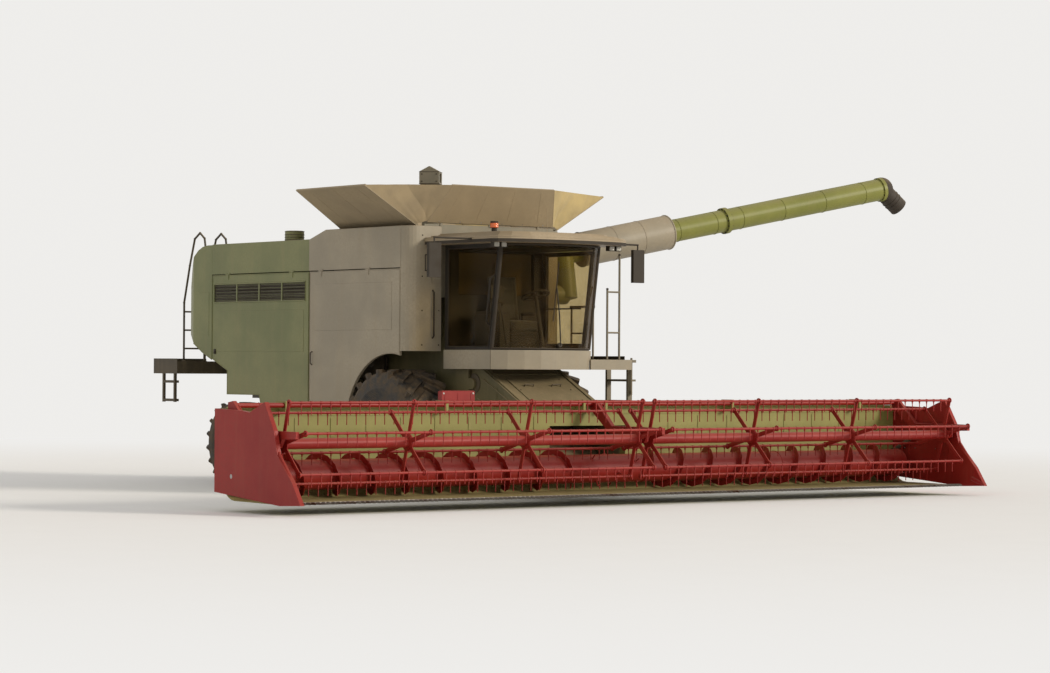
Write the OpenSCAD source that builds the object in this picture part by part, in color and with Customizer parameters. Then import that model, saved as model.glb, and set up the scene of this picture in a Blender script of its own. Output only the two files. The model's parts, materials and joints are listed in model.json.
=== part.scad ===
// Combine harvester with a wide grain header, as it stands at work: header low, grain tank
// covers open and unloading auger swung out to the left. Millimetres, X forward, Y to the
// machine's left, Z up. Inside the modules the reference is the ground below the middle of
// the front axle; placed() then moves everything to the middle of the overall outline.

/* [Running gear] */
// Distance between the front and the rear axle
wheelbase = 4400; // [4300:20:4500]
// Outer radius of the front tyres
front_r = 920; // [900:5:930]
// Width of the front tyres
front_w = 800; // [700:10:800]
// Half of the front track
front_track = 1300; // [1300:10:1340]
// Outer radius of the rear tyres
rear_r = 650; // [620:5:655]
// Width of the rear tyres
rear_w = 500; // [420:10:500]
// Half of the rear track
rear_track = 1300; // [1290:5:1320]

/* [Body] */
// Half width over the side doors
side_y = 1500; // [1480:5:1520]
// Height of the engine deck
deck_z = 3800; // [3780:5:3820]
// Height of the seam under the upper side bands
seam_z = 3330; // [3320:5:3340]
// Rear end of the straw hood behind the front axle
hood_rear = 5860; // [5800:10:5900]
// Thickness of side panels and doors
panel_t = 40; // [30:2:44]

/* [Grain tank] */
// Rear wall of the tank behind the front axle
tank_rear = 1800; // [1780:5:1820]
// Front wall of the tank ahead of the front axle
tank_front = 420; // [400:5:430]
// Half width of the tank
tank_y = 1280; // [1270:5:1284]
// Slant height of the side flaps
side_slant = 1080; // [1060:5:1080]
// Lean of the open side flaps above level
side_lean = 30.6; // [28:0.2:50]
// Slant height of the front flap
front_slant = 640; // [600:10:660]
// Lean of the open front flap above level
front_lean = 59; // [50:1:62]
// Slant height of the rear flap
rear_slant = 880; // [840:10:885]
// Lean of the open rear flap above level
rear_lean = 36.5; // [30:0.5:50]

/* [Cab] */
// Rear wall of the cab
cab_rear = 535; // [525:5:545]
// Foot of the corner pillars at the windscreen
cab_front = 1653; // [1643:5:1663]
// Forward lean of the windscreen
cab_lean = 8.5; // [6:0.5:9]
// Half width of the cab
cab_y = 900; // [880:5:910]
// Height of the cab floor
cab_floor = 2140; // [2130:5:2150]
// Height of the underside of the roof
cab_top = 3660; // [3640:5:3680]

/* [Header] */
// Half width of the header over its end walls
header_y = 6130; // [6110:5:6140]
// Front face of the header's back wall
header_back = 2760; // [2750:5:2780]
// Height of the knife above the ground
knife_z = 170; // [160:5:190]
// Reel axis ahead of the front axle
reel_x = 3960; // [3955:5:3975]
// Height of the reel axis
reel_z = 900; // [895:5:920]
// Radius of the circle through the tine tubes
bat_r = 540; // [500:5:540]
// Length of the reel tines
tine_len = 160; // [140:5:160]
// Spacing of the reel tines
tine_gap = 150; // [130:5:170]

/* [Unloading auger] */
// Length of the unloading tube from its swing axis
tube_len = 6500; // [6000:50:6600]
// Radius of the unloading tube
tube_r = 175; // [160:5:180]
// Rise of the tube when swung out
tube_rise = 11.2; // [8:0.2:12]
// Turn of the tube ahead of square
tube_ahead = 8.5; // [4:0.5:10]

/* [Hidden] */
$fn = 48;

// Joint places, shared by the pieces that meet there
feeder_pivot = [1020, 1640];
arm_pivot = [2880, 1370];
swing_foot = [100, 1600, 3620];
swing_tilt = 9;
intake_x = header_back + 302;
intake_z = 462;
intake_r = 290;
king_y = 1000;
lift_base = [250, 690];
lift_eye = [1950, 635];
reel_base = [2850, 640];
reel_eye = [3340, 890];
arm_y = header_y - 125;
fill_x = -690;
fill_y = -290;
fill_top = 4900;
fill_drop = 946;
side_hinge = [side_y + 5, seam_z - 8];
flap_side_z = 3961;
flap_end_z = 3994;
fit_gap = 0.3;
beam_z = 1330;
reel_phase = 15;
band_split = -2160;
spout_tilt = 40;
elbow_at = tube_len - 377.7;

// Ends of the tank flaps along their hinges: base from, base to, top from, top to
SIDE_ENDS = [-1590, 370, -1440, 365];
FRONT_ENDS = [-1165, 1165, -945, 945];
REAR_ENDS = [-1165, 1165, -985, 985];

// Overall outline, for the origin
outline_rear = -6620;
outline_front = 4700;
outline_right = -header_y;
outline_left = swing_foot[1] + tube_len * cos(tube_rise) * cos(tube_ahead) + 76;
place_x = -(outline_rear + outline_front) / 2;
place_y = -(outline_right + outline_left) / 2;

module placed() translate([place_x, place_y, 0]) children();

// Box between two corners
module span(x0, x1, y0, y1, z0, z1) translate([x0, y0, z0]) cube([x1 - x0, y1 - y0, z1 - z0]);

// Outline in the XZ plane, extruded from y0 to y1
module side_shape(points, y0, y1)
    translate([0, y1, 0]) rotate([90, 0, 0]) linear_extrude(y1 - y0) polygon(points);

// Outline in the XY plane, extruded from z0 to z1
module plan_shape(points, z0, z1) translate([0, 0, z0]) linear_extrude(z1 - z0) polygon(points);

// Round bars along each axis
module bar_y(x, z, r, y0, y1) translate([x, y1, z]) rotate([90, 0, 0]) cylinder(r = r, h = y1 - y0);
module bar_x(y, z, r, x0, x1) translate([x0, y, z]) rotate([0, 90, 0]) cylinder(r = r, h = x1 - x0);
module bar_z(x, y, r, z0, z1) translate([x, y, z0]) cylinder(r = r, h = z1 - z0);

// Round bar between two points
module rod(a, b, r) {
    d = b - a;
    len = norm(d);
    translate(a) rotate([0, acos(d[2] / len), atan2(d[1], d[0])]) cylinder(r = r, h = len);
}

module both() {
    children();
    mirror([0, 1, 0]) children();
}

// Tyre about the Y axis at the origin: carcass and two rows of slanted lugs
module tyre(r, w, rim_r, lug_h, lugs, slant) {
    base = r - lug_h;
    half = [[rim_r, 0.37 * w], [rim_r + 26, 0.43 * w], [(rim_r + base) / 2, 0.5 * w],
        [base - 0.16 * (base - rim_r), 0.48 * w], [base - 12, 0.43 * w], [base, 0.36 * w]];
    rotate([90, 0, 0]) {
        rotate_extrude($fn = 72)
            polygon(concat(half, [for (i = [5:-1:0]) [half[i][0], -half[i][1]]]));
        intersection() {
            union() {
                for (side = [-1, 1], i = [0:lugs - 1])
                    rotate([0, 0, (i + side / 4) * 360 / lugs])
                        translate([base - 90, 0, side * 0.238 * w])
                            rotate([side * slant, 0, 0])
                                translate([0, -0.075 * w, -0.30 * w])
                                    cube([lug_h + 140, 0.12 * w, 0.60 * w]);
            }
            cylinder(r = r, h = 0.95 * w, center = true, $fn = 72);
        }
    }
}

// Rim about the Y axis: well, wheel disc with hand holes, and hub with its bore
module rim(r, w, disc_y, hub_r, bore_r, hub_in, hub_out) {
    rotate([-90, 0, 0]) {
        difference() {
            union() {
                difference() {
                    cylinder(r = r - 0.5, h = 0.78 * w, center = true);
                    cylinder(r = r - 18, h = 0.9 * w, center = true);
                }
                translate([0, 0, disc_y - 10]) cylinder(r = r - 10, h = 20);
                translate([0, 0, disc_y - hub_in]) cylinder(r = hub_r, h = hub_in + hub_out);
                translate([0, 0, disc_y]) cylinder(r = hub_r * 1.5, h = 34);
            }
            cylinder(r = bore_r, h = 2 * w, center = true);
            for (i = [0:7])
                rotate([0, 0, i * 45]) translate([r * 0.72, 0, disc_y - 50]) cylinder(r = r * 0.085, h = 100);
        }
    }
}

module front_wheel_place(side) placed() translate([0, side * front_track, front_r]) children();
module rear_wheel_place(side) placed() translate([-wheelbase, side * rear_track, rear_r]) children();
module outward(side) mirror([0, side < 0 ? 1 : 0, 0]) children();

module tyre_front(side) color("#1c1c1c") front_wheel_place(side)
    outward(side) tyre(front_r, front_w, 406, 42, 20, 40);
module tyre_rear(side) color("#1c1c1c") rear_wheel_place(side)
    outward(side) tyre(rear_r, rear_w, 305, 32, 18, 40);
module rim_front(side) color("#c9c5b4") front_wheel_place(side)
    outward(side) rim(406, front_w, 60, 130, 60, 90, 60);
module rim_rear(side) color("#c9c5b4") rear_wheel_place(side)
    outward(side) rim(305, rear_w, 40, 90, 45, 70, 50);

// Frame rails, cross members and the seat of the rear axle
module chassis_frame() color("#2b2d2c") placed() {
    both() span(-wheelbase - 350, 880, 780 + fit_gap, 860, 1360, 1540);
    span(-wheelbase - 350, -wheelbase - 240, -790, 790, 1380, 1520);
    span(-wheelbase - 140, -wheelbase + 140, -790, 790, 1380, 1520);
    for (x = [-128, 102]) span(-wheelbase + x, -wheelbase + x + 26, -85, 85, 610, 1390);
    both() span(-150, 150, 795, 855, 1050 + fit_gap, 1360);
    bar_x(0, 680, 50, -wheelbase - 160, -wheelbase + 160);
    // drawbar hitch, hung from the rear cross member
    span(-wheelbase - 290, -wheelbase - 250, -60, 60, 895, 1390);
    difference() {
        span(-wheelbase - 460, -wheelbase - 260, -45, 45, 895, 915);
        bar_z(-wheelbase - 400, 0, 16, 800, 1000);
    }
}

// Driven front axle: beam, final drives and wheel stubs
module front_axle() color("#3a3d3a") placed() {
    span(-140, 140, -870, 870, 790, 1050);
    difference() {
        both() for (y = [510, 662])
            side_shape([[60, 800], [130, 900], [296, 740], [296, 640], [200, 640], [80, 780]], y, y + 26);
        bar_y(lift_base[0], lift_base[1], 30.5, -800, 800);
    }
    both() {
        bar_y(0, front_r, 290, 860, 1085);
        bar_y(0, front_r, 180, 1080, 1262);
        bar_y(0, front_r, 59.5, 1255, 1410);
    }
}

// Steered rear axle: hollow beam with a fork for each kingpin
module rear_axle() color("#3a3d3a") placed() {
    difference() {
        union() {
            span(-wheelbase - 100, -wheelbase + 100, -900, 900, 590, 770);
            both() {
                span(-wheelbase - 70, -wheelbase + 70, 870, 910, 495, 815);
                span(-wheelbase - 70, -wheelbase + 70, 870, king_y + 62, 772, 815);
                span(-wheelbase - 70, -wheelbase + 70, 870, king_y + 62, 495, 538);
            }
        }
        both() bar_z(-wheelbase, king_y, 28.5, 400, 900);
        bar_x(0, 680, 50.5, -wheelbase - 200, -wheelbase + 200);
    }
}

// Steering knuckle with kingpin, stub and arm
module knuckle(side) color("#46483f") placed() outward(side) {
    span(-wheelbase - 55, -wheelbase + 55, king_y - 40, king_y + 72, 546, 764);
    bar_z(-wheelbase, king_y, 28, 488, 822);
    bar_y(-wheelbase, rear_r, 80, king_y + 70, king_y + 262);
    bar_y(-wheelbase, rear_r, 44.5, king_y + 260, king_y + 395);
    span(-wheelbase - 268, -wheelbase - 50, king_y - 20, king_y + 20, 552, 576);
}

// Tie rod behind the rear axle, its eyes above the knuckle arms
module tie_rod() color("#b8bab2") placed() {
    bar_y(-wheelbase - 238, 600, 15, -990, 990);
    both() bar_z(-wheelbase - 238, king_y, 28, 576 + fit_gap, 620);
}

// Threshing body between the wheels, with the recess for the feeder's pivot
module threshing_body() color("#6b6a4e") placed() {
    difference() {
        union() {
            side_shape([[960, 1965], [960, 1340], [560, 1180], [260, 1080], [260, 1545], [-260, 1545],
                [-260, 1080], [-760, 800], [-3120, 730], [-3560, 1375], [-4290, 1545], [-4460, 1545],
                [-4460, 2900], [400, 2900], [400, 1965]], -780, 780);
            // cheeks that hold the feeder's pins
            span(900, feeder_pivot[0], -780, 780, feeder_pivot[1] - 80, feeder_pivot[1] + 80);
            bar_y(feeder_pivot[0], feeder_pivot[1], 80, -780, 780);
        }
        bar_y(feeder_pivot[0], feeder_pivot[1], 292, -742, 742);
        // room for the feeder's lower edge
        translate([feeder_pivot[0], 0, feeder_pivot[1]])
            side_shape([[-158, -245], [-50, -314], [-50, -190], [-140, -190]], -742, 742);
        bar_y(feeder_pivot[0], feeder_pivot[1], 30 + fit_gap, -790, 790);
    }
}

// Engine deck with the rear part of the upper side bands
module deck_bands() color("#7c7d52") placed() {
    span(-4960, band_split, -side_y + panel_t, 1320, deck_z - 60, deck_z);
    span(band_split - 10, -tank_rear - fit_gap, -side_y + panel_t + fit_gap, 1286 - fit_gap, deck_z - 60, deck_z);
    span(-4960, band_split, -side_y, -side_y + panel_t, seam_z, deck_z);
    span(-4960, band_split, 1286, 1320, seam_z, deck_z);
    span(-4960, band_split, 1320, side_y, seam_z, seam_z + 20);
    both() for (i = [0, 1]) hinge_tab(door_hinges[i]);
    // service hatch and air intake
    span(-3900, -2500, -900, 700, deck_z, deck_z + 30);
    bar_z(-3150, -1120, 150, deck_z, deck_z + 170);
    for (x = [-4700:150:-4100]) span(x, x + 90, -700, 700, deck_z, deck_z + 22);
}

// Front part of the upper side bands with the corner panels behind the cab
module body_top() color("#8d8b62") placed() {
    x0 = band_split + fit_gap;
    side_shape([[x0, seam_z], [245, seam_z], [245, 3930], [-1720, 3930], [x0, deck_z]], -side_y, -side_y + panel_t);
    side_shape([[x0, seam_z], [-140, seam_z], [-140, 3900], [-1720, 3900], [x0, deck_z]], 1286, 1320);
    span(x0, -140, 1320, side_y, seam_z, seam_z + 20);
    // front corner panels: rounded on the right, open for the auger's foot on the left
    plan_shape(concat([for (a = [-90:15:0]) [245 + 201 * cos(a), -side_y + 201 + 201 * sin(a)]],
        [[446, -905], [424, -905], [424, -side_y + 201]],
        [for (a = [0:-15:-90]) [245 + 161 * cos(a), -side_y + 201 + 161 * sin(a)]]), 2110, 3925);
    span(424, 446, 905, 1262, 2110, 3655);
    span(-150, 446, 1225, 1262, 2110, 2895);
    span(-190, -150, 1286, side_y, 2110, seam_z + 5);
    span(-190, -150, 1225, 1290, 2110, 2895);
    both() for (i = [2, 3]) hinge_tab(door_hinges[i]);
    // outlet grille behind the cab on the right
    for (z = [3300:36:3480]) span(446, 456, -1180, -960, z, z + 18);
}

// Hinges of the side doors: tab and pin on the body, knuckle and leaf on the door
door_hinges = [-4500, -2650, -1850, -600];
module hinge_tab(x) {
    span(x + 44, x + 70, side_y - 4, side_y + 11, seam_z - 14, seam_z + 15);
    bar_x(side_hinge[0], side_hinge[1], 5, x - 44, x + 46);
}
module hinge_leaf(x) difference() {
    union() {
        bar_x(side_hinge[0], side_hinge[1], 9, x - 40, x + 40);
        span(x - 40, x + 40, side_y - 2, side_y + 8, seam_z - 90, seam_z - 14);
    }
    bar_x(side_hinge[0], side_hinge[1], 5 + fit_gap, x - 50, x + 50);
}

// Side door panel; louvres fill the band near its top
module side_door(points, louvre, hinges) {
    for (x = hinges) hinge_leaf(x);
    difference() {
        side_shape(points, side_y - panel_t, side_y);
        bar_y(0, front_r, 1150, side_y - 100, side_y + 100);
        if (len(louvre) > 0)
            span(louvre[0], louvre[1], side_y - 100, side_y + 100, louvre[2], louvre[3]);
    }
    if (len(louvre) > 0)
        for (z = [louvre[2] + 8:46:louvre[3] - 40])
            span(louvre[0] - 5, louvre[1] + 5, side_y - panel_t + 4, side_y - 12, z, z + 30);
}
module door_front(side) color("#b0aca0") placed() outward(side)
    side_door([[side < 0 ? 240 : -200, seam_z - 15], [side < 0 ? 240 : -200, 1000], [-2140, 1000],
        [-2140, seam_z - 15]], [], [door_hinges[2], door_hinges[3]]);
module door_rear(side) color("#7c7d52") placed() outward(side)
    side_door([[-2160, seam_z - 15], [-2160, 1000], [-3400, 1000], [-3560, 1420], [-4500, 1420],
        [-4500, 1800], [-4950, 1980], [-4950, seam_z - 15]], [-4880, -2260, 2880, 3170],
        [door_hinges[0], door_hinges[1]]);

// Straw hood: rounded rear shell, open below
module straw_hood() color("#7c7d52") placed() {
    difference() {
        intersection() {
            side_shape(concat([[-4460 - fit_gap, deck_z], [-4970, deck_z]],
                [for (a = [0:15:75]) [-5100 - 590 * sin(a), 3230 + 570 * cos(a)]],
                [[-hood_rear + 60, 3020], [-hood_rear, 2800], [-hood_rear, 2440], [-5250, 2090],
                [-4550, 1810], [-4460 - fit_gap, 1790]]), -side_y, side_y);
            plan_shape([[-4400, -side_y], [-hood_rear + 330, -side_y], [-hood_rear + 110, -side_y + 90],
                [-hood_rear, -side_y + 330], [-hood_rear, side_y - 330], [-hood_rear + 110, side_y - 90],
                [-hood_rear + 330, side_y], [-4400, side_y]], 1500, 4000);
        }
        // room for the side doors, the deck and the left ledge
        span(-4962, -4400, -side_y - 10, -side_y + panel_t + 5, 1500, 4000);
        span(-4962, -4400, side_y - panel_t - 5, side_y + 10, 1500, 4000);
        span(-4960 - fit_gap, -4400, -1600, 1600, deck_z - 60 - fit_gap, 4000);
        span(-4962, -4400, 1280, 1600, seam_z - 5, 4000);
        // inside of the hood, open below
        span(-5640, -4600, -1050, 1050, 1500, 3100);
        bar_y(-4860, 2180, 30 + fit_gap, -1100, 1100);
    }
}

module engine_block() color("#55574f") placed() span(-3700, -2250, -520, 880, 2900 + fit_gap, 3660);

// Chopper rotor with rows of knives, across the foot of the hood
module chopper_rotor() color("#5c5c58") placed() {
    bar_y(-4860, 2180, 60, -1030, 1030);
    bar_y(-4860, 2180, 30, -1095, 1095);
    for (row = [0:3], i = [0:12])
        translate([-4860, -960 + i * 160, 2180]) rotate([0, row * 90 + (i % 2) * 45, 0])
            translate([40, -5, -25]) cube([170, 10, 50]);
}

// Tail board of the chopper with its guide vanes
module spreader_board() color("#40423c") placed() {
    side_shape([[-5120, 2330], [-5610, 2420], [-5610, 2400], [-5120, 2308]], -1000, 1000);
    for (y = [-900:300:900])
        side_shape([[-5140, 2312], [-5600, 2401], [-5600, 2300], [-5140, 2200]], y - 6, y + 6);
    both() span(-5180, -5120, 995, 1050 - fit_gap, 2300, 2340);
}

// Grain tank, open at the top, with the fixed foot of the filling auger
module grain_tank() color("#6f6c58") placed() {
    difference() {
        span(-tank_rear, tank_front, -tank_y, tank_y, 2900 + fit_gap, 3940);
        span(-tank_rear + 40, tank_front - 40, -tank_y + 40, tank_y - 40, 2945, 4100);
        bar_z(fill_x, fill_y, 140, 2905, 3000);
    }
    span(-tank_rear, -tank_rear + 40, -1195, 1195, 3930, 3970);
    span(tank_front - 40, tank_front, -1195, 1195, 3930, 3970);
    bar_z(fill_x, fill_y, 105.7, 2903, 3885);
    // hinge rods of the flaps, on posts between their knuckles
    both() {
        bar_x(tank_y, flap_side_z, 8, SIDE_ENDS[0] + 5, SIDE_ENDS[1] - 5);
        for (x = [-1400, -690, 20]) span(x - 20, x + 20, tank_y - 12, tank_y + 10, 3930, flap_side_z);
    }
    for (x = [-tank_rear, tank_front]) {
        bar_y(x, flap_end_z, 8, -1160, 1160);
        for (y = [-900, 0, 900]) span(x - 12, x + 12, y - 20, y + 20, 3950, flap_end_z);
    }
}

// Tank flap in its own plane: hinge along its base, outer face below; ends as in the tables above
module flap_frame(ends, slant, knuckles) difference() {
    union() {
        translate([0, 0, -25]) linear_extrude(25)
            polygon([[ends[0], 14], [ends[1], 14], [ends[3], slant], [ends[2], slant]]);
        for (u = knuckles) {
            bar_x(0, 0, 16, u - 60, u + 60);
            span(u - 60, u + 60, 0, 30, -16, 0);
        }
        // ribs on the inner face
        for (u = [knuckles[0] - 80, knuckles[1] + 80]) span(u - 15, u + 15, 60, slant - 60, -2, 6);
    }
    bar_x(0, 0, 8 + fit_gap, ends[0] - 10, ends[1] + 10);
}
module flap_front() color("#8c8474") placed()
    translate([tank_front, 0, flap_end_z]) rotate([0, 0, -90]) rotate([front_lean, 0, 0])
        flap_frame(FRONT_ENDS, front_slant, [-450, 450]);
module flap_rear() color("#8c8474") placed()
    translate([-tank_rear, 0, flap_end_z]) rotate([0, 0, 90]) rotate([rear_lean, 0, 0])
        flap_frame(REAR_ENDS, rear_slant, [-450, 450]);
module flap_side(side) color("#8c8474") placed() outward(side)
    translate([0, tank_y, flap_side_z]) rotate([side_lean, 0, 0])
        flap_frame(SIDE_ENDS, side_slant, [-1045, -335]);

// Corner cloths between the open flaps: points in the flaps' own planes, then the cloth
function on_slant(lean, v, w) = [v * cos(lean) - w * sin(lean), v * sin(lean) + w * cos(lean)];
function end_point(hinge_x, way, lean, u, v, w) = let (p = on_slant(lean, v, w))
    [hinge_x + way * p[0], u, flap_end_z + p[1]];
function side_point(u, v, w) = let (p = on_slant(side_lean, v, w)) [u, tank_y + p[0], flap_side_z + p[1]];
// The cloths start above the hinges and stand off the flaps' edges more at the foot than at the top
cloth_foot = 32;
foot_gap = 2.5;
function edge_at(foot, top, slant, v) = foot + (top - foot) * (v - 14) / (slant - 14);
function cloth_edge(hinge_x, way, lean, slant, ends, side_foot, side_top, w) = [
    end_point(hinge_x, way, lean, edge_at(ends[1], ends[3], slant, cloth_foot) + foot_gap, cloth_foot, w),
    end_point(hinge_x, way, lean, ends[3] + fit_gap, slant, w),
    side_point(side_top + way * fit_gap, side_slant, w),
    side_point(edge_at(side_foot, side_top, side_slant, cloth_foot) + way * foot_gap, cloth_foot, w)];
module cloth(hinge_x, way, lean, slant, ends, side_foot, side_top)
    polyhedron(concat(cloth_edge(hinge_x, way, lean, slant, ends, side_foot, side_top, -19),
        cloth_edge(hinge_x, way, lean, slant, ends, side_foot, side_top, -25)),
        [for (f = [[0, 1, 2], [0, 2, 3], [6, 5, 4], [7, 6, 4], [0, 4, 5], [0, 5, 1],
            [1, 5, 6], [1, 6, 2], [2, 6, 7], [2, 7, 3], [3, 7, 4], [3, 4, 0]]) way > 0 ? f : [f[2], f[1], f[0]]]);
module tank_gussets() color("#a39a80") placed() both() {
    cloth(tank_front, 1, front_lean, front_slant, FRONT_ENDS, SIDE_ENDS[1], SIDE_ENDS[3]);
    cloth(-tank_rear, -1, rear_lean, rear_slant, REAR_ENDS, SIDE_ENDS[0], SIDE_ENDS[2]);
}

// Sliding upper part of the filling auger; its square hood stands at 45 degrees
module fill_auger() color("#4b4b45") placed() translate([fill_x, fill_y, 0]) {
    eaves = fill_top - 80;
    difference() {
        union() {
            bar_z(0, 0, 130, 3885 - 32, eaves - 150);
            rotate([0, 0, 45]) {
                span(-150, 150, -150, 150, eaves - 190, eaves);
                side_shape([[-150, eaves - 1], [-150, eaves], [0, fill_top], [150, eaves], [150, eaves - 1]], -150, 150);
            }
        }
        bar_z(0, 0, 106, 3800, 3885 + fill_drop + 7);
        rotate([0, 0, 45]) span(60, 200, -90, 90, eaves - 165, eaves - 25);
    }
}

// Frame that puts +Z along the auger's swing axis at its foot
module swing_frame() translate(swing_foot) rotate([0, -swing_tilt, 0]) children();

// Fixed column of the unloading auger, with the elbow into the tank
module unload_turret() color("#8d8b62") placed() {
    swing_frame() translate([0, 0, -700]) cylinder(r = 190, h = 440);
    bar_y(205, 2990, 150, tank_y + fit_gap, 1600);
}

// Swinging part: elbow, tube and flange, in the frame with +Z along the tube
module tube_frame() translate(swing_foot) rotate([0, 0, -tube_ahead]) rotate([tube_rise, 0, 0])
    rotate([-90, 0, 0]) children();
module unload_auger() color("#7f8048") placed() {
    swing_frame() translate([0, 0, -260 + fit_gap]) cylinder(r = 185, h = 400);
    tube_frame() {
        cylinder(r = tube_r, h = elbow_at - fit_gap);
        translate([0, 0, 2990]) cylinder(r = tube_r + 32, h = 70);
        translate([0, 0, elbow_at - 60]) cylinder(r = tube_r + 20, h = 60 - fit_gap);
    }
}
module auger_sleeve() color("#b0aca0") placed() tube_frame() difference() {
    translate([0, 0, 330]) cylinder(r = 265, h = 1620);
    translate([0, 0, 300]) cylinder(r = tube_r + fit_gap, h = 1700);
}

// Rounded elbow at the tip with the spout, which points down and outward
module auger_spout() color("#26262a") placed() tube_frame() translate([0, 0, elbow_at]) intersection() {
    union() {
        sphere(r = tube_r + 20);
        rotate([-90 + spout_tilt, 0, 0]) difference() {
            cylinder(r = 150, h = 450);
            translate([0, 0, 200]) cylinder(r = 138, h = 300);
        }
    }
    span(-300, 300, -300, 700, 0, 700);
}

// Cab shell: floor, rear wall, corner pillars and sills, with window openings
function lean_at(z) = (z - cab_floor) * tan(cab_lean);
// Outline with a leaning front edge: rear, front at the floor, bottom, top
function leaning(x0, x1, z0, z1) = [[x0, z0], [x1 + lean_at(z0), z0], [x1 + lean_at(z1), z1], [x0, z1]];
module cab_shell() color("#3d3d39") placed() {
    // floor with its rounded front
    plan_shape(concat([[cab_rear, -cab_y], [cab_front, -cab_y]], windscreen_arc(0),
        [[cab_front, cab_y], [cab_rear, cab_y]]), cab_floor - 90, cab_floor);
    difference() {
        span(cab_rear, cab_rear + 60, -cab_y, cab_y, cab_floor - 10, cab_top);
        span(cab_rear - 10, cab_rear + 70, -700, 700, cab_floor + 800, cab_top - 90);
    }
    // right wall with its window
    difference() {
        side_shape(leaning(cab_rear, cab_front, cab_floor - 10, cab_top), -cab_y, -cab_y + 50);
        side_shape(leaning(cab_rear + 80, cab_front - 60, cab_floor + 40, cab_top - 60), -cab_y - 10, -cab_y + 60);
    }
    // left door frame
    difference() {
        side_shape(leaning(cab_rear, cab_front, cab_floor - 10, cab_top), cab_y - 50, cab_y);
        side_shape(leaning(cab_rear + 80, cab_front - 60, cab_floor + 10, cab_top - 60), cab_y - 60, cab_y + 10);
    }
    side_shape(leaning(cab_rear, cab_front, cab_top - 60, cab_top), -cab_y, cab_y);
    // blocks that carry the cab on the body
    both() span(cab_rear + 60, cab_rear + 300, 500, 700, 1965 + fit_gap, cab_floor - 80);
    for (z = [cab_floor + 190, cab_top - 230]) {
        bar_z(cab_rear + 84, cab_y + 12, 6, z - 74, z + 74);
        for (side = [-1, 1])
            span(cab_rear + 60, cab_rear + 92, cab_y - 4, cab_y + 18, z + side * 76 - 8, z + side * 76 + 8);
    }
}
function windscreen_arc(inset) = [for (i = [-4:4]) let (a = i * 12)
    [cab_front - 682.8 + (1035 - inset) * cos(a), (cab_y - inset) * sin(a) / sin(48)]];

// Pale band below the windows, carried on to the front edge of the left platform
module cab_skirt() color("#b0aca0") placed() {
    low = 1853;
    high = cab_floor - 10;
    plan_shape(concat(windscreen_arc(-22), [for (p = [8:-1:0]) windscreen_arc(-fit_gap)[p]]), low, high);
    span(cab_rear, cab_front + 12, -cab_y - 22, -cab_y - fit_gap, low, high);
    span(cab_rear, cab_front + 12, cab_y + fit_gap, cab_y + 22, 1975, high);
    span(1740 + fit_gap, 1762, cab_y - 40, 1640, low, 2002);
}

// Roof outline: front edge from the left corner to the middle
ROOF_FRONT = [[2050, 1220], [2170, 1175], [2270, 1010], [2345, 700], [2378, 350], [2385, 0]];
module roof_layer(rear, inset, z0, z1)
    plan_shape(concat([[rear, 1220 - inset]], [for (p = ROOF_FRONT) [p[0] - inset, p[1] * (1220 - inset) / 1220]],
        [for (i = [4:-1:0]) [ROOF_FRONT[i][0] - inset, -ROOF_FRONT[i][1] * (1220 - inset) / 1220]],
        [[rear, -1220 + inset]]), z0, z1);
module cab_roof() color("#a8a293") placed() {
    roof_layer(450, 14, cab_top + fit_gap, cab_top + 30);
    roof_layer(450, 0, cab_top + 25, cab_top + 85);
    roof_layer(456, 16, cab_top + 80, cab_top + 105);
    roof_layer(500, 90, cab_top + 100, cab_top + 130);
    roof_layer(560, 200, cab_top + 125, cab_top + 160);
}

// Windscreen, right side window and rear window
module cab_glass() color("#27302f") placed() {
    intersection() {
        translate([cab_front, 0, cab_floor]) rotate([0, cab_lean, 0]) translate([-cab_front, 0, -cab_floor])
            plan_shape(concat(windscreen_arc(0), [for (p = [8:-1:0]) windscreen_arc(14)[p]]),
                cab_floor - 300, cab_top + 300);
        span(cab_rear, cab_front + 900, -1000, 1000, cab_floor + fit_gap, cab_top - fit_gap);
    }
    side_shape(leaning(cab_rear + 80 + fit_gap, cab_front - 60 - fit_gap, cab_floor + 40 + fit_gap,
        cab_top - 60 - fit_gap), -cab_y + 16, -cab_y + 26);
    span(cab_rear + 26, cab_rear + 36, -700 + fit_gap, 700 - fit_gap, cab_floor + 800 + fit_gap,
        cab_top - 90 - fit_gap);
}

// Door on the left, hinged at its rear edge
module cab_door() color("#3d3d39") placed() {
    difference() {
        side_shape(leaning(cab_rear + 88, cab_front - 68, cab_floor + 18, cab_top - 68), cab_y - 44, cab_y - 6);
        side_shape(leaning(cab_rear + 150, cab_front - 125, cab_floor + 90, cab_top - 125), cab_y - 60, cab_y + 10);
    }
    for (z = [cab_floor + 190, cab_top - 230]) difference() {
        union() {
            bar_z(cab_rear + 84, cab_y + 12, 12, z - 66, z + 66);
            span(cab_rear + 90, cab_rear + 140, cab_y - 10, cab_y + 12, z - 66, z + 66);
        }
        bar_z(cab_rear + 84, cab_y + 12, 6 + fit_gap, z - 80, z + 80);
    }
    span(cab_front - 8, cab_front + 34, cab_y - 8, cab_y + 22, cab_floor + 700, cab_floor + 820);
}
module door_glass() color("#27302f") placed()
    side_shape(leaning(cab_rear + 150 + fit_gap, cab_front - 125 - fit_gap, cab_floor + 90 + fit_gap,
        cab_top - 125 - fit_gap), cab_y - 30, cab_y - 20);

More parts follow.
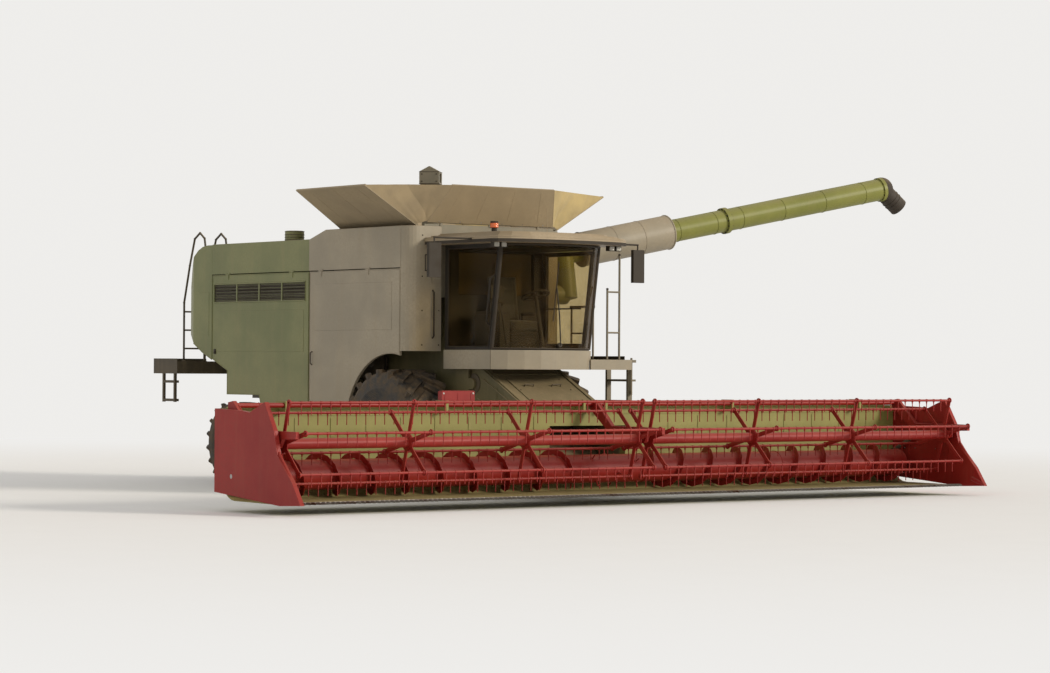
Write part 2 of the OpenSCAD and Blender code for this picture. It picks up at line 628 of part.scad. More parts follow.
// Seat, console and steering column
module cab_interior() color("#2d2e2e") placed() translate([cab_rear - 450, 0, 0]) {
    span(700, 1180, -260, 260, cab_floor, cab_floor + 260);
    span(680, 1220, -280, 280, cab_floor + 260, cab_floor + 420);
    translate([720, 0, cab_floor + 400]) rotate([0, -8, 0]) translate([-60, -260, 0]) cube([120, 520, 700]);
    span(700, 1300, -560, -330, cab_floor, cab_floor + 560);
    span(1560, 1680, -70, 70, cab_floor, cab_floor + 40);
    rod([1620, 0, cab_floor + 20], [1454, 0, cab_floor + 788], 36);
    translate([1450, 0, cab_floor + 790]) rotate([0, -20, 0]) rotate_extrude() translate([200, 0]) circle(r = 16, $fn = 16);
    translate([1450, 0, cab_floor + 790]) rotate([0, -20, 0]) {
        span(-195, 195, -16, 16, -12, 8);
        cylinder(r = 50, h = 30, center = true);
    }
}

// Mirrors, beacon and work lamps on the roof
module cab_fittings() color("#232323") placed() {
    both() {
        bar_y(1600, cab_top + 56, 14, 1220 + fit_gap, 1880);
        span(1570, 1630, 1770, 1980, 3150, 3640);
        span(1590, 1610, 1866, 1880, 3630, cab_top + 60);
        for (y = [940, 1070]) span(1990, 2070, y, y + 100, 3588, cab_top);
    }
    bar_z(1400, -660, 40, cab_top + 160 + fit_gap, cab_top + 240);
    bar_z(1400, -660, 58, cab_top + 235, cab_top + 330);
}

// Cab platform with its rail and grab poles
module platforms() color("#3c3e38") placed() {
    difference() {
        union() {
            span(300, 1740, 950, 1640, 1960, 2000);
            span(1620, 1740, 1630, 1740, 1960, 2000);
        }
        bar_z(1690, 1690, 16.5, 1900, 2100);
    }
    for (x = [360, 880]) bar_z(x, 1610, 16, 1995, 2802);
    rod([345, 1610, 2800], [895, 1610, 2800], 18);
    rod([360, 1610, 2400], [880, 1610, 2400], 13);
    bar_z(1715, 1200, 16, 1995, 3050);
    bar_z(1715, 1430, 16, 1995, 3560);
    rod([1715, 1195, 3000], [1715, 1435, 3000], 13);
    rod([1715, 1200, 2400], [1715, 1430, 2400], 13);
    span(400, 900, 780 + fit_gap, 960, 1900, 1965);
}

// Rear platform with the steps below it and the ladder to the engine deck
module deck_ladder() color("#3c3e38") placed() {
    span(-6600, -hood_rear + 4, -1600, -600, 1740, 1940);
    for (x = [-6300, -5950]) span(x - 20, x + 20, -1600, -1560, 1280, 1745);
    for (z = [1290, 1590]) span(-6320, -5930, -1600, -1520, z, z + 40);
    for (y = [-1080, -780]) span(-hood_rear - 30, -hood_rear - fit_gap, y - 10, y + 10, 1930, 2700);
    // ladder to the engine deck, its rails looped over the rear edge
    rail = [[-6100, 1935], [-6100, 2900], [-5930, 3500], [-5780, 3930], [-5620, 4020], [-5480, 3930],
        [-5430, 3712]];
    rod([-6100, -930, 2600], [-hood_rear - fit_gap, -930, 2600], 13);
    for (y = [-1330, -930]) {
        for (i = [0:5]) rod([rail[i][0], y, rail[i][1]], [rail[i + 1][0], y, rail[i + 1][1]], 17);
        for (i = [1:5]) translate([rail[i][0], y, rail[i][1]]) sphere(r = 20);
    }
    for (z = [2150:300:2900]) rod([-6100, -1330, z], [-6100, -930, z], 14);
}

// Swinging ladder at the front left
module access_ladder() color("#3c3e38") placed() {
    for (x = [1150, 1640]) span(x - 20, x + 20, 1650, 1730, 420, 1930);
    for (z = [440:310:1900]) span(1130, 1660, 1650, 1800, z, z + 30);
    bar_z(1690, 1690, 16, 1480, 2030);
    for (z = [1500, 1880]) span(1650, 1690, 1680, 1700, z, z + 40);
}

// Feeder house: hollow duct with the round head at its pivot
module feeder_house() color("#77785a") placed() {
    difference() {
        union() {
            bar_y(feeder_pivot[0], feeder_pivot[1], 280, -720, 720);
            side_shape([[1170, 1876], [2590, 1120], [2640, 1120], [2640, 330], [2560, 330],
                [868, 1405]], -720, 720);
        }
        bar_y(feeder_pivot[0], feeder_pivot[1], 246, -686, 686);
        side_shape([[1120, 1866], [2700, 1025], [2700, 390], [2566, 366], [890, 1432]], -686, 686);
        span(600, 880, -686, 686, 1440, 1840);
    }
    both() {
        bar_y(feeder_pivot[0], feeder_pivot[1], 30, 715, 779);
        for (y = [536, 642])
            side_shape([[lift_eye[0] - 110, 820], [lift_eye[0] - 45, lift_eye[1] - 20],
                [lift_eye[0], lift_eye[1] - 45], [lift_eye[0] + 45, lift_eye[1] - 20],
                [lift_eye[0] + 60, 720]], y, y + 22);
    }
}

// Lift cylinders below the feeder house
module lift_pair(from, to) {
    d = to - from;
    len = norm(d);
    both() translate([from[0], 600, from[1]]) rotate([0, 90 - atan2(d[1], d[0]), 0]) children();
}
module lift_barrels() color("#2e302e") placed() {
    bar_y(lift_base[0], lift_base[1], 30, -694, 694);
    lift_pair(lift_base, lift_eye) difference() {
        translate([0, 0, -20]) cylinder(r = 60, h = 1220);
        translate([0, 0, 60]) cylinder(r = 32.5, h = 1200);
    }
}
module lift_rods() color("#c8cac6") placed() {
    lift_pair(lift_base, lift_eye)
        translate([0, 0, 150]) cylinder(r = 32, h = norm(lift_eye - lift_base) - 180);
    both() bar_y(lift_eye[0], lift_eye[1], 38, 562, 638);
}

// Header: back wall with the feeder opening, top beam, floor with trough, and knife
module header_frame() color("#8a8a52") placed() {
    y1 = header_y - 60 - fit_gap;
    difference() {
        span(header_back - 60, header_back, -y1, y1, 260, beam_z - 90);
        span(header_back - 200, header_back + 10, -690, 690, 390, 1060);
    }
    span(header_back - 110, header_back + 10, -y1, y1, beam_z - 100, beam_z);
    span(header_back - 120 + fit_gap, header_back - 58, -y1, y1, 250, 360);
    // brackets of the reel shaft
    difference() {
        for (y = [-5200, -2600, -200, 200, 2600, 5200])
            span(header_back - 60, arm_pivot[0] + 55, y - 20, y + 20, beam_z - 60, arm_pivot[1] + 55);
        bar_y(arm_pivot[0], arm_pivot[1], 34.5, -y1, y1);
    }
    // frame that meets the feeder house
    difference() {
        span(header_back - 120 + fit_gap, header_back - 56, -780, 780, 355, beam_z - 95);
        span(header_back - 200, header_back + 10, -690, 690, 390, 1060);
    }
    // trough and floor out to the knife
    side_shape(concat([for (a = [180:15:270]) [intake_x + 305 * cos(a), intake_z + 305 * sin(a)]],
        [[4178, knife_z - 22], [4178, knife_z - 34]],
        [for (a = [270:-15:180]) [intake_x + 317 * cos(a), intake_z + 317 * sin(a)]]), -y1, y1);
}

// Knife bar with its guards, across the front of the floor
module knife_bar() color("#77787a") placed() {
    guard = 76;
    count = floor((header_y - 70) / guard);
    plan_shape(concat([[4178 + fit_gap, -header_y + 64], [4178 + fit_gap, header_y - 64]],
        [for (i = [count - 1:-1:-count], k = [0:2]) [[4240, 4335, 4240][k], (i + [0.75, 0.5, 0.25][k]) * guard]]),
        knife_z - 34, knife_z - 12);
}

// Red end walls with the crop dividers, and the cover on the top beam
module header_ends() color("#a3221d") placed() {
    both() {
        difference() {
            side_shape([[header_back - 100, 250], [4200, 130], [4690, 150], [4500, 420], [4160, 760],
                [4070, 1070], [3850, 1427], [3490, 1290], [3300, 1310], [header_back - 100, beam_z]],
                header_y - 60, header_y);
            bar_y(intake_x, intake_z, 30.5, header_y - 100, header_y + 10);
        }
        bar_y(reel_base[0], reel_base[1], 15, arm_y - 36, header_y - 50);
    }
    span(header_back - 100, header_back - 10, -2560, -2000, beam_z + fit_gap, 1550);
}

// Intake auger: tube with shaft ends, and its drum fingers in the middle
module intake_auger() color("#8e2a20") placed() {
    bar_y(intake_x, intake_z, 200, -5880, 5880);
    bar_y(intake_x, intake_z, 30, -header_y + 4, header_y - 4);
    for (i = [0:11])
        translate([intake_x, -605 + i * 110, intake_z]) rotate([0, i * 105, 0]) translate([190, 0, 0])
            rotate([0, 90, 0]) cylinder(r = 9, h = 92, $fn = 8);
}

// One helical flight: hand is 1 or -1, from y0 over a number of turns
module flight(y0, turns, pitch, hand, steps) {
    n = turns * steps;
    points = [for (i = [0:n], c = [0:3]) let (a = hand * i * 360 / steps,
        r = c < 2 ? 200.3 / cos(180 / steps) : intake_r, dy = (c == 1 || c == 2) ? 8 : 0)
        [r * cos(a), y0 + i * pitch / steps + dy, r * sin(a)]];
    sides = [for (i = [0:n - 1], c = [0:3]) let (p = 4 * i + c, q = 4 * i + (c + 1) % 4)
        hand > 0 ? [p, p + 4, q + 4, q] : [p, q, q + 4, p + 4]];
    ends = hand > 0 ? [[0, 1, 2, 3], [4 * n + 3, 4 * n + 2, 4 * n + 1, 4 * n]]
        : [[3, 2, 1, 0], [4 * n, 4 * n + 1, 4 * n + 2, 4 * n + 3]];
    translate([intake_x, 0, intake_z]) polyhedron(points, concat(sides, ends));
}
module auger_flights() color("#7a2018") placed() {
    flight(720, 9, 560, 1, 12);
    flight(-720 - 9 * 560 - 8, 9, 560, -1, 12);
}

// Reel arms at both ends and in the middle, joined by a shaft behind the top beam
module reel_arm(y, half_t) {
    difference() {
        side_shape([[arm_pivot[0] - 60, arm_pivot[1] + 40], [arm_pivot[0] + 60, arm_pivot[1] + 60],
            [3330, 1070], [4420, 1060], [4420, 970], [reel_x + 150, 960], [reel_x + 70, reel_z - 50],
            [reel_x - 70, reel_z - 50], [reel_x - 150, 960], [3280, 960], [arm_pivot[0] - 60, arm_pivot[1] - 60]],
            y - half_t, y + half_t);
        bar_y(reel_x, reel_z, 31, y - 100, y + 100);
    }
}
module reel_arms() color("#9a241e") placed() {
    for (y = [-arm_y, 0, arm_y]) reel_arm(y, 26);
    bar_y(arm_pivot[0], arm_pivot[1], 34, -header_y + 100, header_y - 100);
    for (y = [-arm_y, arm_y], side = [-1, 1])
        side_shape([[reel_eye[0] - 34, 1010], [reel_eye[0] - 34, reel_eye[1] - 20], [reel_eye[0], reel_eye[1] - 34],
            [reel_eye[0] + 34, reel_eye[1] - 20], [reel_eye[0] + 34, 1010]],
            y + side * 22.5 - 3.5, y + side * 22.5 + 3.5);
}

// Reel lift cylinders, one at each end
module reel_pair() both() translate([reel_base[0], arm_y, reel_base[1]])
    rotate([0, 90 - atan2(reel_eye[1] - reel_base[1], reel_eye[0] - reel_base[0]), 0]) children();
module reel_barrels() color("#2e302e") placed() {
    reel_pair() difference() {
        union() {
            cylinder(r = 28, h = 400);
            rotate([90, 0, 0]) cylinder(r = 32, h = 60, center = true);
        }
        translate([0, 0, 60]) cylinder(r = 15.5, h = 400);
        rotate([90, 0, 0]) cylinder(r = 15.5, h = 80, center = true);
    }
}
module reel_rods() color("#c8cac6") placed() {
    reel_pair() translate([0, 0, 80]) cylinder(r = 15, h = norm(reel_eye - reel_base) - 90);
    both() bar_y(reel_eye[0], reel_eye[1], 22, arm_y - 15, arm_y + 15);
}

// Reel core: shaft, tube halves and star plates with the tine tubes' eyes
module star_plate(y) {
    translate([reel_x, y + 7, reel_z]) rotate([90, 0, 0]) linear_extrude(14) difference() {
        union() {
            circle(r = 120);
            for (i = [0:5]) rotate([0, 0, reel_phase + i * 60]) {
                translate([0, -30]) square([bat_r, 60]);
                translate([bat_r, 0]) circle(r = 42, $fn = 24);
            }
        }
        for (i = [0:5]) rotate([0, 0, reel_phase + i * 60]) translate([bat_r, 0]) circle(r = 17.2);
    }
}
plate_places = [110, 2050, 3990, 5925];
module reel_core() color("#a3261f") placed() {
    bar_y(reel_x, reel_z, 30, -header_y + 92, header_y - 92);
    both() {
        bar_y(reel_x, reel_z, 70, 104, 5930);
        for (y = plate_places) star_plate(y);
    }
}

// Tine tubes and tines of the reel, all tines hanging down
module reel_bats() color("#b5352a") placed() both() {
    for (i = [0:5]) {
        x = reel_x + bat_r * cos(reel_phase + i * 60);
        z = reel_z + bat_r * sin(reel_phase + i * 60);
        bar_y(x, z, 17, 120, 5918);
        for (k = [0:37]) span(x - 5, x + 5, 190 + k * tine_gap - 4, 190 + k * tine_gap + 4, z - tine_len, z);
    }
}

chassis_frame();
front_axle();
rear_axle();
knuckle(1);  // knuckle_left
knuckle(-1);  // knuckle_right
tie_rod();
tyre_front(1);  // tyre_front_left
tyre_front(-1);  // tyre_front_right
tyre_rear(1);  // tyre_rear_left
tyre_rear(-1);  // tyre_rear_right
rim_front(1);  // rim_front_left
rim_front(-1);  // rim_front_right
rim_rear(1);  // rim_rear_left
rim_rear(-1);  // rim_rear_right
threshing_body();
body_top();
deck_bands();
door_front(1);  // door_front_left
door_front(-1);  // door_front_right
door_rear(1);  // door_rear_left
door_rear(-1);  // door_rear_right
straw_hood();
engine_block();
chopper_rotor();
spreader_board();
grain_tank();
flap_front();
flap_rear();
flap_side(1);  // flap_left
flap_side(-1);  // flap_right
tank_gussets();
fill_auger();
unload_turret();
unload_auger();
auger_sleeve();
auger_spout();
cab_shell();
cab_skirt();
cab_roof();
cab_glass();
cab_door();
door_glass();
cab_interior();
cab_fittings();
platforms();
deck_ladder();
access_ladder();
feeder_house();
lift_barrels();
lift_rods();
header_frame();
header_ends();
knife_bar();
intake_auger();
auger_flights();
reel_arms();
reel_barrels();
reel_rods();
reel_core();
reel_bats();
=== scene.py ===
import json
import math

import bmesh
import bpy
from mathutils import Matrix, Vector


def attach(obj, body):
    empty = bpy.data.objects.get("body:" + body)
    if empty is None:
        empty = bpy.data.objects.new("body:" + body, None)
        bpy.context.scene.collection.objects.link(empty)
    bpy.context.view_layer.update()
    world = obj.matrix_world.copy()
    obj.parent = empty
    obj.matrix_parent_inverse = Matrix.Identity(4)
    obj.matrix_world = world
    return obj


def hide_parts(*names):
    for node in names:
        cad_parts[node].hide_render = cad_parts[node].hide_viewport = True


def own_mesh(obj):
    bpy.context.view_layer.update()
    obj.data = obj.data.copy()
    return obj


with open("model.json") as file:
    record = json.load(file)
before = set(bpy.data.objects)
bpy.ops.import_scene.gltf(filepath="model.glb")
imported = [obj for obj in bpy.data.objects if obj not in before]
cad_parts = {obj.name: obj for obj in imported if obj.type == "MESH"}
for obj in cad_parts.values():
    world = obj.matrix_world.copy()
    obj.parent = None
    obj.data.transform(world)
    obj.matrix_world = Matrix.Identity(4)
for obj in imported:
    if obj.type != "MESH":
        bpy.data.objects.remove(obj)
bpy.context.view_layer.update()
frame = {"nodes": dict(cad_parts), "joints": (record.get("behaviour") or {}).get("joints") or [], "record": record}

JOINTS = {joint["name"]: joint for joint in frame["joints"]}


# The machine's own reference: the ground below the middle of the front axle
def axle_middle():
    left = Vector(JOINTS["front_wheel_left_spin"]["pos_m"])
    right = Vector(JOINTS["front_wheel_right_spin"]["pos_m"])
    middle = (left + right) / 2
    return Vector((middle.x, middle.y, 0.0))


PLACE = axle_middle()


def at(x, y, z):
    return Vector((x, y, z)) + PLACE


# Camera, at the place from which the photograph was taken
CAMERA_X = 35.0
CAMERA_Y = -26.06
CAMERA_Z = 1.924
AIM = (-0.2, 1.15, 2.35)
LENS_MM = 100.0
ROLL_DEG = 0.36


def make_camera():
    data = bpy.data.cameras.new("photo_camera")
    data.lens = LENS_MM
    data.sensor_width = 36.0
    data.clip_start = 0.5
    data.clip_end = 3000.0
    camera = bpy.data.objects.new("photo_camera", data)
    bpy.context.scene.collection.objects.link(camera)
    camera.location = at(CAMERA_X, CAMERA_Y, CAMERA_Z)
    aim = at(*AIM) - camera.location
    turn = aim.to_track_quat("-Z", "Y").to_matrix().to_4x4()
    camera.rotation_euler = (turn @ Matrix.Rotation(math.radians(ROLL_DEG), 4, "Z")).to_euler()
    bpy.context.scene.camera = camera


make_camera()


# Node material helpers
class Nodes:
    """A material's nodes, made and linked by short calls."""

    def __init__(self, name):
        self.material = bpy.data.materials.new(name)
        self.material.use_nodes = True
        self.tree = self.material.node_tree
        self.tree.nodes.clear()
        self.output = self.make("ShaderNodeOutputMaterial")
        self.shader = self.make("ShaderNodeBsdfPrincipled")
        self.link(self.shader.outputs["BSDF"], self.output.inputs["Surface"])
        self.place = self.make("ShaderNodeTexCoord").outputs["Object"]

    def make(self, kind):
        return self.tree.nodes.new(kind)

    def link(self, source, target):
        self.tree.links.new(source, target)

    def constant(self, **values):
        for name, value in values.items():
            self.shader.inputs[name.replace("_", " ")].default_value = value

    def vector(self, operation, source, factors):
        node = self.make("ShaderNodeVectorMath")
        node.operation = operation
        node.inputs[1].default_value = factors
        self.link(source, node.inputs[0])
        return node.outputs[0]

    def noise(self, scale, detail=4.0, rough=0.6, stretch=None):
        node = self.make("ShaderNodeTexNoise")
        node.inputs["Scale"].default_value = scale
        node.inputs["Detail"].default_value = detail
        node.inputs["Roughness"].default_value = rough
        source = self.vector("MULTIPLY", self.place, stretch) if stretch else self.place
        self.link(source, node.inputs["Vector"])
        return node.outputs["Fac"]

    def ramp(self, value, low, high, out_low=0.0, out_high=1.0):
        node = self.make("ShaderNodeMapRange")
        node.interpolation_type = "SMOOTHSTEP"
        self.link(value, node.inputs["Value"])
        for name, number in (("From Min", low), ("From Max", high), ("To Min", out_low), ("To Max", out_high)):
            node.inputs[name].default_value = number
        return node.outputs["Result"]

    def math(self, operation, a, b=0.0, clamp=False):
        node = self.make("ShaderNodeMath")
        node.operation = operation
        node.use_clamp = clamp
        for socket, value in zip(node.inputs, (a, b)):
            if isinstance(value, (int, float)):
                socket.default_value = value
            else:
                self.link(value, socket)
        return node.outputs[0]

    def total(self, *terms):
        """Sum of (value, share) pairs, kept between 0 and 1."""
        result = self.math("MULTIPLY", *terms[0])
        for value, share in terms[1:]:
            result = self.math("ADD", result, self.math("MULTIPLY", value, share), clamp=True)
        return result

    def wave(self, coordinate, per_metre):
        return self.math("SINE", self.math("MULTIPLY", coordinate, 2 * math.pi * per_metre))

    def mix(self, factor, a, b):
        node = self.make("ShaderNodeMix")
        node.data_type = "RGBA"
        self.link(factor, node.inputs["Factor"])
        for socket, value in ((node.inputs[6], a), (node.inputs[7], b)):
            if isinstance(value, (tuple, list)):
                socket.default_value = (*value[:3], 1.0)
            else:
                self.link(value, socket)
        return node.outputs[2]

    def split(self, vector):
        node = self.make("ShaderNodeSeparateXYZ")
        self.link(vector, node.inputs[0])
        return node.outputs

    def upward(self):
        return self.split(self.make("ShaderNodeNewGeometry").outputs["Normal"])[2]

    def bump(self, height, strength, distance):
        node = self.make("ShaderNodeBump")
        node.inputs["Strength"].default_value = strength
        node.inputs["Distance"].default_value = distance
        self.link(height, node.inputs["Height"])
        self.link(node.outputs["Normal"], self.shader.inputs["Normal"])


def tone(red, green, blue):
    """Linear colour from a display colour in 0 to 255."""
    return tuple((value / 255 / 12.92) if value < 11 else ((value / 255 + 0.055) / 1.055) ** 2.4
                 for value in (red, green, blue))


def shade(colour, factor):
    return tuple(min(1.0, channel * factor) for channel in colour)


DUST = tone(162, 140, 108)
RUST = tone(92, 56, 36)


# Paint under field dust: blotches, rain streaks, dust on ledges and low down
def paint(name, colour, dust=0.4, gloss=0.42, low_dust=0.5, streaks=0.3, ripple=0.12):
    n = Nodes(name)
    blotch = n.ramp(n.noise(0.9, 5.0, 0.62), 0.36, 0.68)
    speck = n.noise(28.0, 6.0, 0.7)
    streak = n.ramp(n.noise(1.0, 4.0, 0.6, stretch=(9.0, 9.0, 0.55)), 0.46, 0.74)
    scuff = n.ramp(n.noise(5.5, 7.0, 0.75, stretch=(1.0, 1.0, 2.6)), 0.60, 0.72)
    base = n.mix(blotch, shade(colour, 0.84), shade(colour, 1.14))
    base = n.mix(n.ramp(speck, 0.35, 0.75), base, shade(colour, 0.92))
    base = n.mix(n.math("MULTIPLY", scuff, 0.35), base, shade(colour, 0.62))
    ledge = n.ramp(n.upward(), 0.25, 0.95)
    near_ground = n.ramp(n.split(n.place)[2], 2.6, 0.2, 0.0, low_dust)
    amount = n.total((blotch, 0.28 * dust), (streak, streaks * dust), (ledge, 0.8 * dust), (near_ground, dust))
    amount = n.math("MULTIPLY", amount, n.ramp(speck, 0.15, 0.7, 0.55, 1.0), clamp=True)
    n.link(n.mix(amount, base, DUST), n.shader.inputs["Base Color"])
    n.link(n.ramp(amount, 0.0, 0.8, gloss, 0.88), n.shader.inputs["Roughness"])
    n.constant(Specular_IOR_Level=0.3)
    n.bump(n.total((speck, 0.35), (n.noise(3.0, 2.0, 0.5), 0.65)), ripple, 0.01)
    return n.material


# Bare worn steel with scratches along its length
def steel(name, colour, rough=0.38, dust=0.2):
    n = Nodes(name)
    grain = n.noise(6.0, 8.0, 0.7, stretch=(14.0, 1.5, 14.0))
    stain = n.ramp(n.noise(2.4, 5.0, 0.65), 0.48, 0.72)
    base = n.mix(stain, colour, RUST)
    base = n.mix(n.ramp(n.upward(), 0.3, 1.0, 0.0, dust), base, DUST)
    n.link(base, n.shader.inputs["Base Color"])
    n.link(n.ramp(grain, 0.3, 0.7, rough * 0.75, rough * 1.5), n.shader.inputs["Roughness"])
    n.constant(Metallic=0.85)
    n.bump(grain, 0.15, 0.004)
    return n.material


# Rubber: dusty lugs, and fine rings on the sidewall round the wheel's own axis
def rubber(name, joint, lug_from):
    n = Nodes(name)
    across = n.vector("SUBTRACT", n.place, Vector(JOINTS[joint]["pos_m"]))
    across = n.vector("MULTIPLY", across, (1.0, 0.0, 1.0))
    length = n.make("ShaderNodeVectorMath")
    length.operation = "LENGTH"
    n.link(across, length.inputs[0])
    radius = length.outputs["Value"]
    rings = n.wave(radius, 45.0)
    dirt = n.ramp(n.noise(5.0, 6.0, 0.7), 0.32, 0.68)
    amount = n.math("MULTIPLY", dirt, n.ramp(radius, lug_from - 0.3, lug_from + 0.05, 0.4, 0.85))
    n.link(n.mix(amount, tone(34, 32, 30), tone(112, 93, 68)), n.shader.inputs["Base Color"])
    n.link(n.ramp(amount, 0.0, 0.8, 0.62, 0.92), n.shader.inputs["Roughness"])
    wall = n.math("MULTIPLY", rings, n.ramp(radius, lug_from, lug_from - 0.05))
    n.bump(n.math("ADD", n.math("MULTIPLY", wall, 0.5), n.math("MULTIPLY", n.noise(70.0, 3.0, 0.6), 0.3)), 0.35, 0.006)
    return n.material


def plastic(name, colour, rough=0.5, dust=0.25, grain=90.0):
    n = Nodes(name)
    patch = n.ramp(n.noise(2.0, 4.0, 0.6), 0.4, 0.7)
    base = n.mix(patch, shade(colour, 0.9), shade(colour, 1.15))
    amount = n.math("MULTIPLY", n.ramp(n.upward(), 0.2, 1.0, 0.25, 1.0), dust)
    n.link(n.mix(amount, base, DUST), n.shader.inputs["Base Color"])
    n.link(n.ramp(patch, 0.0, 1.0, rough, min(1.0, rough * 1.35)), n.shader.inputs["Roughness"])
    n.constant(Specular_IOR_Level=0.25)
    n.bump(n.noise(grain, 3.0, 0.6), 0.12, 0.002)
    return n.material


# Tinted glass under a film of dust that is thicker at the bottom of the pane; each face passes the tint once
def glass(name, tint, film):
    n = Nodes(name)
    cloud = n.ramp(n.noise(3.0, 5.0, 0.65), 0.3, 0.75)
    low = n.ramp(n.split(n.place)[2], 3.2, 2.1, 0.5, 1.8)
    amount = n.math("MULTIPLY", n.math("MULTIPLY", cloud, low), film * 2, clamp=True)
    n.link(n.mix(cloud, tone(74, 58, 36), tone(104, 84, 56)), n.shader.inputs["Base Color"])
    n.link(n.ramp(amount, 0.0, 0.6, 0.04, 0.5), n.shader.inputs["Roughness"])
    facing = n.make("ShaderNodeLayerWeight").outputs["Facing"]
    sheen = n.ramp(facing, 0.5, 1.0, 0.03, 0.5)
    clear = n.make("ShaderNodeBsdfTransparent")
    clear.inputs["Color"].default_value = (*tint, 1.0)
    mix = n.make("ShaderNodeMixShader")
    n.link(n.math("ADD", amount, sheen, clamp=True), mix.inputs["Fac"])
    n.link(clear.outputs["BSDF"], mix.inputs[1])
    n.link(n.shader.outputs["BSDF"], mix.inputs[2])
    n.link(mix.outputs["Shader"], n.output.inputs["Surface"])
    return n.material


# Coated cloth or upholstery: a fine crossed weave and soft stains
def cloth(name, colour, threads=160.0, dust=0.2):
    n = Nodes(name)
    x, y, z = n.split(n.place)
    weave = n.math("ADD", n.wave(x, threads), n.math("ADD", n.wave(y, threads), n.wave(z, threads)))
    stain = n.ramp(n.noise(1.8, 5.0, 0.6), 0.35, 0.7)
    streak = n.ramp(n.noise(1.0, 4.0, 0.6, stretch=(8.0, 8.0, 0.7)), 0.45, 0.72)
    base = n.mix(stain, shade(colour, 0.82), shade(colour, 1.1))
    n.link(n.mix(n.math("MULTIPLY", streak, dust), base, DUST), n.shader.inputs["Base Color"])
    n.link(n.ramp(stain, 0.0, 1.0, 0.72, 0.9), n.shader.inputs["Roughness"])
    n.constant(Sheen_Weight=0.3)
    n.bump(weave, 0.15, 0.002)
    return n.material


def lens(name, colour, clear=0.0):
    n = Nodes(name)
    _, y, z = n.split(n.place)
    patch = n.ramp(n.noise(12.0, 3.0, 0.6), 0.35, 0.7)
    n.link(n.mix(patch, colour, shade(colour, 0.8)), n.shader.inputs["Base Color"])
    n.link(n.ramp(patch, 0.0, 1.0, 0.08, 0.3), n.shader.inputs["Roughness"])
    n.constant(Coat_Weight=0.6, Transmission_Weight=clear)
    n.bump(n.math("ADD", n.wave(y, 40.0), n.wave(z, 40.0)), 0.25, 0.003)
    return n.material


CREAM = tone(160, 150, 130)
MATERIALS = {
    "chassis_paint": paint("chassis_paint", tone(50, 50, 46), dust=0.5),
    "bare_steel": steel("bare_steel", tone(172, 170, 166)),
    "body_green_dark": paint("body_green_dark", tone(94, 90, 60), dust=0.5),
    "body_cream": paint("body_cream", CREAM, dust=0.4),
    "body_green": paint("body_green", tone(122, 126, 84), dust=0.4),
    "engine_grey": paint("engine_grey", tone(90, 90, 86), dust=0.5, gloss=0.6, ripple=0.4),
    "worn_steel": steel("worn_steel", tone(148, 144, 138), rough=0.45, dust=0.35),
    "dark_steel": paint("dark_steel", tone(66, 60, 48), dust=0.45, gloss=0.5),
    "tank_steel": paint("tank_steel", tone(132, 126, 108), dust=0.6, gloss=0.5),
    "flap_cloth": paint("flap_cloth", tone(158, 142, 114), dust=0.35, gloss=0.55),
    # One corner cloth in two copies: gusset_cloth is painted lighter as painted light, and the copy after it is painted
    # darker as painted shade.
    "gusset_cloth": cloth("gusset_cloth", tone(190, 168, 114)),
    "gusset_painted_shade": cloth("gusset_painted_shade", tone(160, 142, 110)),
    "tube_green": paint("tube_green", tone(128, 130, 60), dust=0.25, low_dust=0.0),
    "spout_dark": plastic("spout_dark", tone(40, 38, 38), rough=0.6, dust=0.35),
    "cab_dark": paint("cab_dark", tone(36, 33, 29), dust=0.12, gloss=0.6),
    "roof_cream": paint("roof_cream", tone(160, 144, 118), dust=0.4, gloss=0.45),
    "cab_glass": glass("cab_glass", (0.84, 0.79, 0.66), 0.05),
    "cab_trim": plastic("cab_trim", tone(52, 51, 52), dust=0.15),
    "black_plastic": plastic("black_plastic", tone(44, 40, 35), rough=0.62, dust=0.2),
    "chrome_rod": steel("chrome_rod", tone(204, 203, 200), rough=0.16, dust=0.05),
    "header_green": paint("header_green", tone(142, 140, 72), dust=0.42, gloss=0.45, low_dust=0.35),
    "header_red": paint("header_red", tone(146, 20, 18), dust=0.16, gloss=0.46, low_dust=0.14),
    "rim_paint": paint("rim_paint", tone(146, 146, 112), dust=0.4),
    "seat_fabric": cloth("seat_fabric", tone(70, 68, 66), threads=260.0, dust=0.1),
    "lens_white": lens("lens_white", tone(168, 164, 150)),
    "rail_paint": paint("rail_paint", tone(126, 118, 100), dust=0.45, gloss=0.5),
    "lens_amber": lens("lens_amber", tone(232, 104, 24)),
    "lens_red": lens("lens_red", tone(150, 22, 18)),
    "mirror_glass": steel("mirror_glass", tone(196, 198, 196), rough=0.06, dust=0.0),
}
TYRE_JOINTS = {
    "tyre_front_left": ("front_wheel_left_spin", 0.87),
    "tyre_front_right": ("front_wheel_right_spin", 0.87),
    "tyre_rear_left": ("rear_wheel_left_spin", 0.61),
    "tyre_rear_right": ("rear_wheel_right_spin", 0.61),
}


# Nodes whose finish differs from that of the others in their slot
FINISHES = {"fill_auger": "tank_steel", "platforms": "rail_paint", "access_ladder": "rail_paint"}


def dress_nodes():
    slots = {part["node"]: part["material_slot"] for part in frame["record"]["subparts"]}
    for name, obj in frame["nodes"].items():
        if name in TYRE_JOINTS:
            material = rubber("rubber_" + name, *TYRE_JOINTS[name])
        else:
            material = MATERIALS[FINISHES.get(name, slots[name])]
        obj.data.materials.clear()
        obj.data.materials.append(material)


dress_nodes()


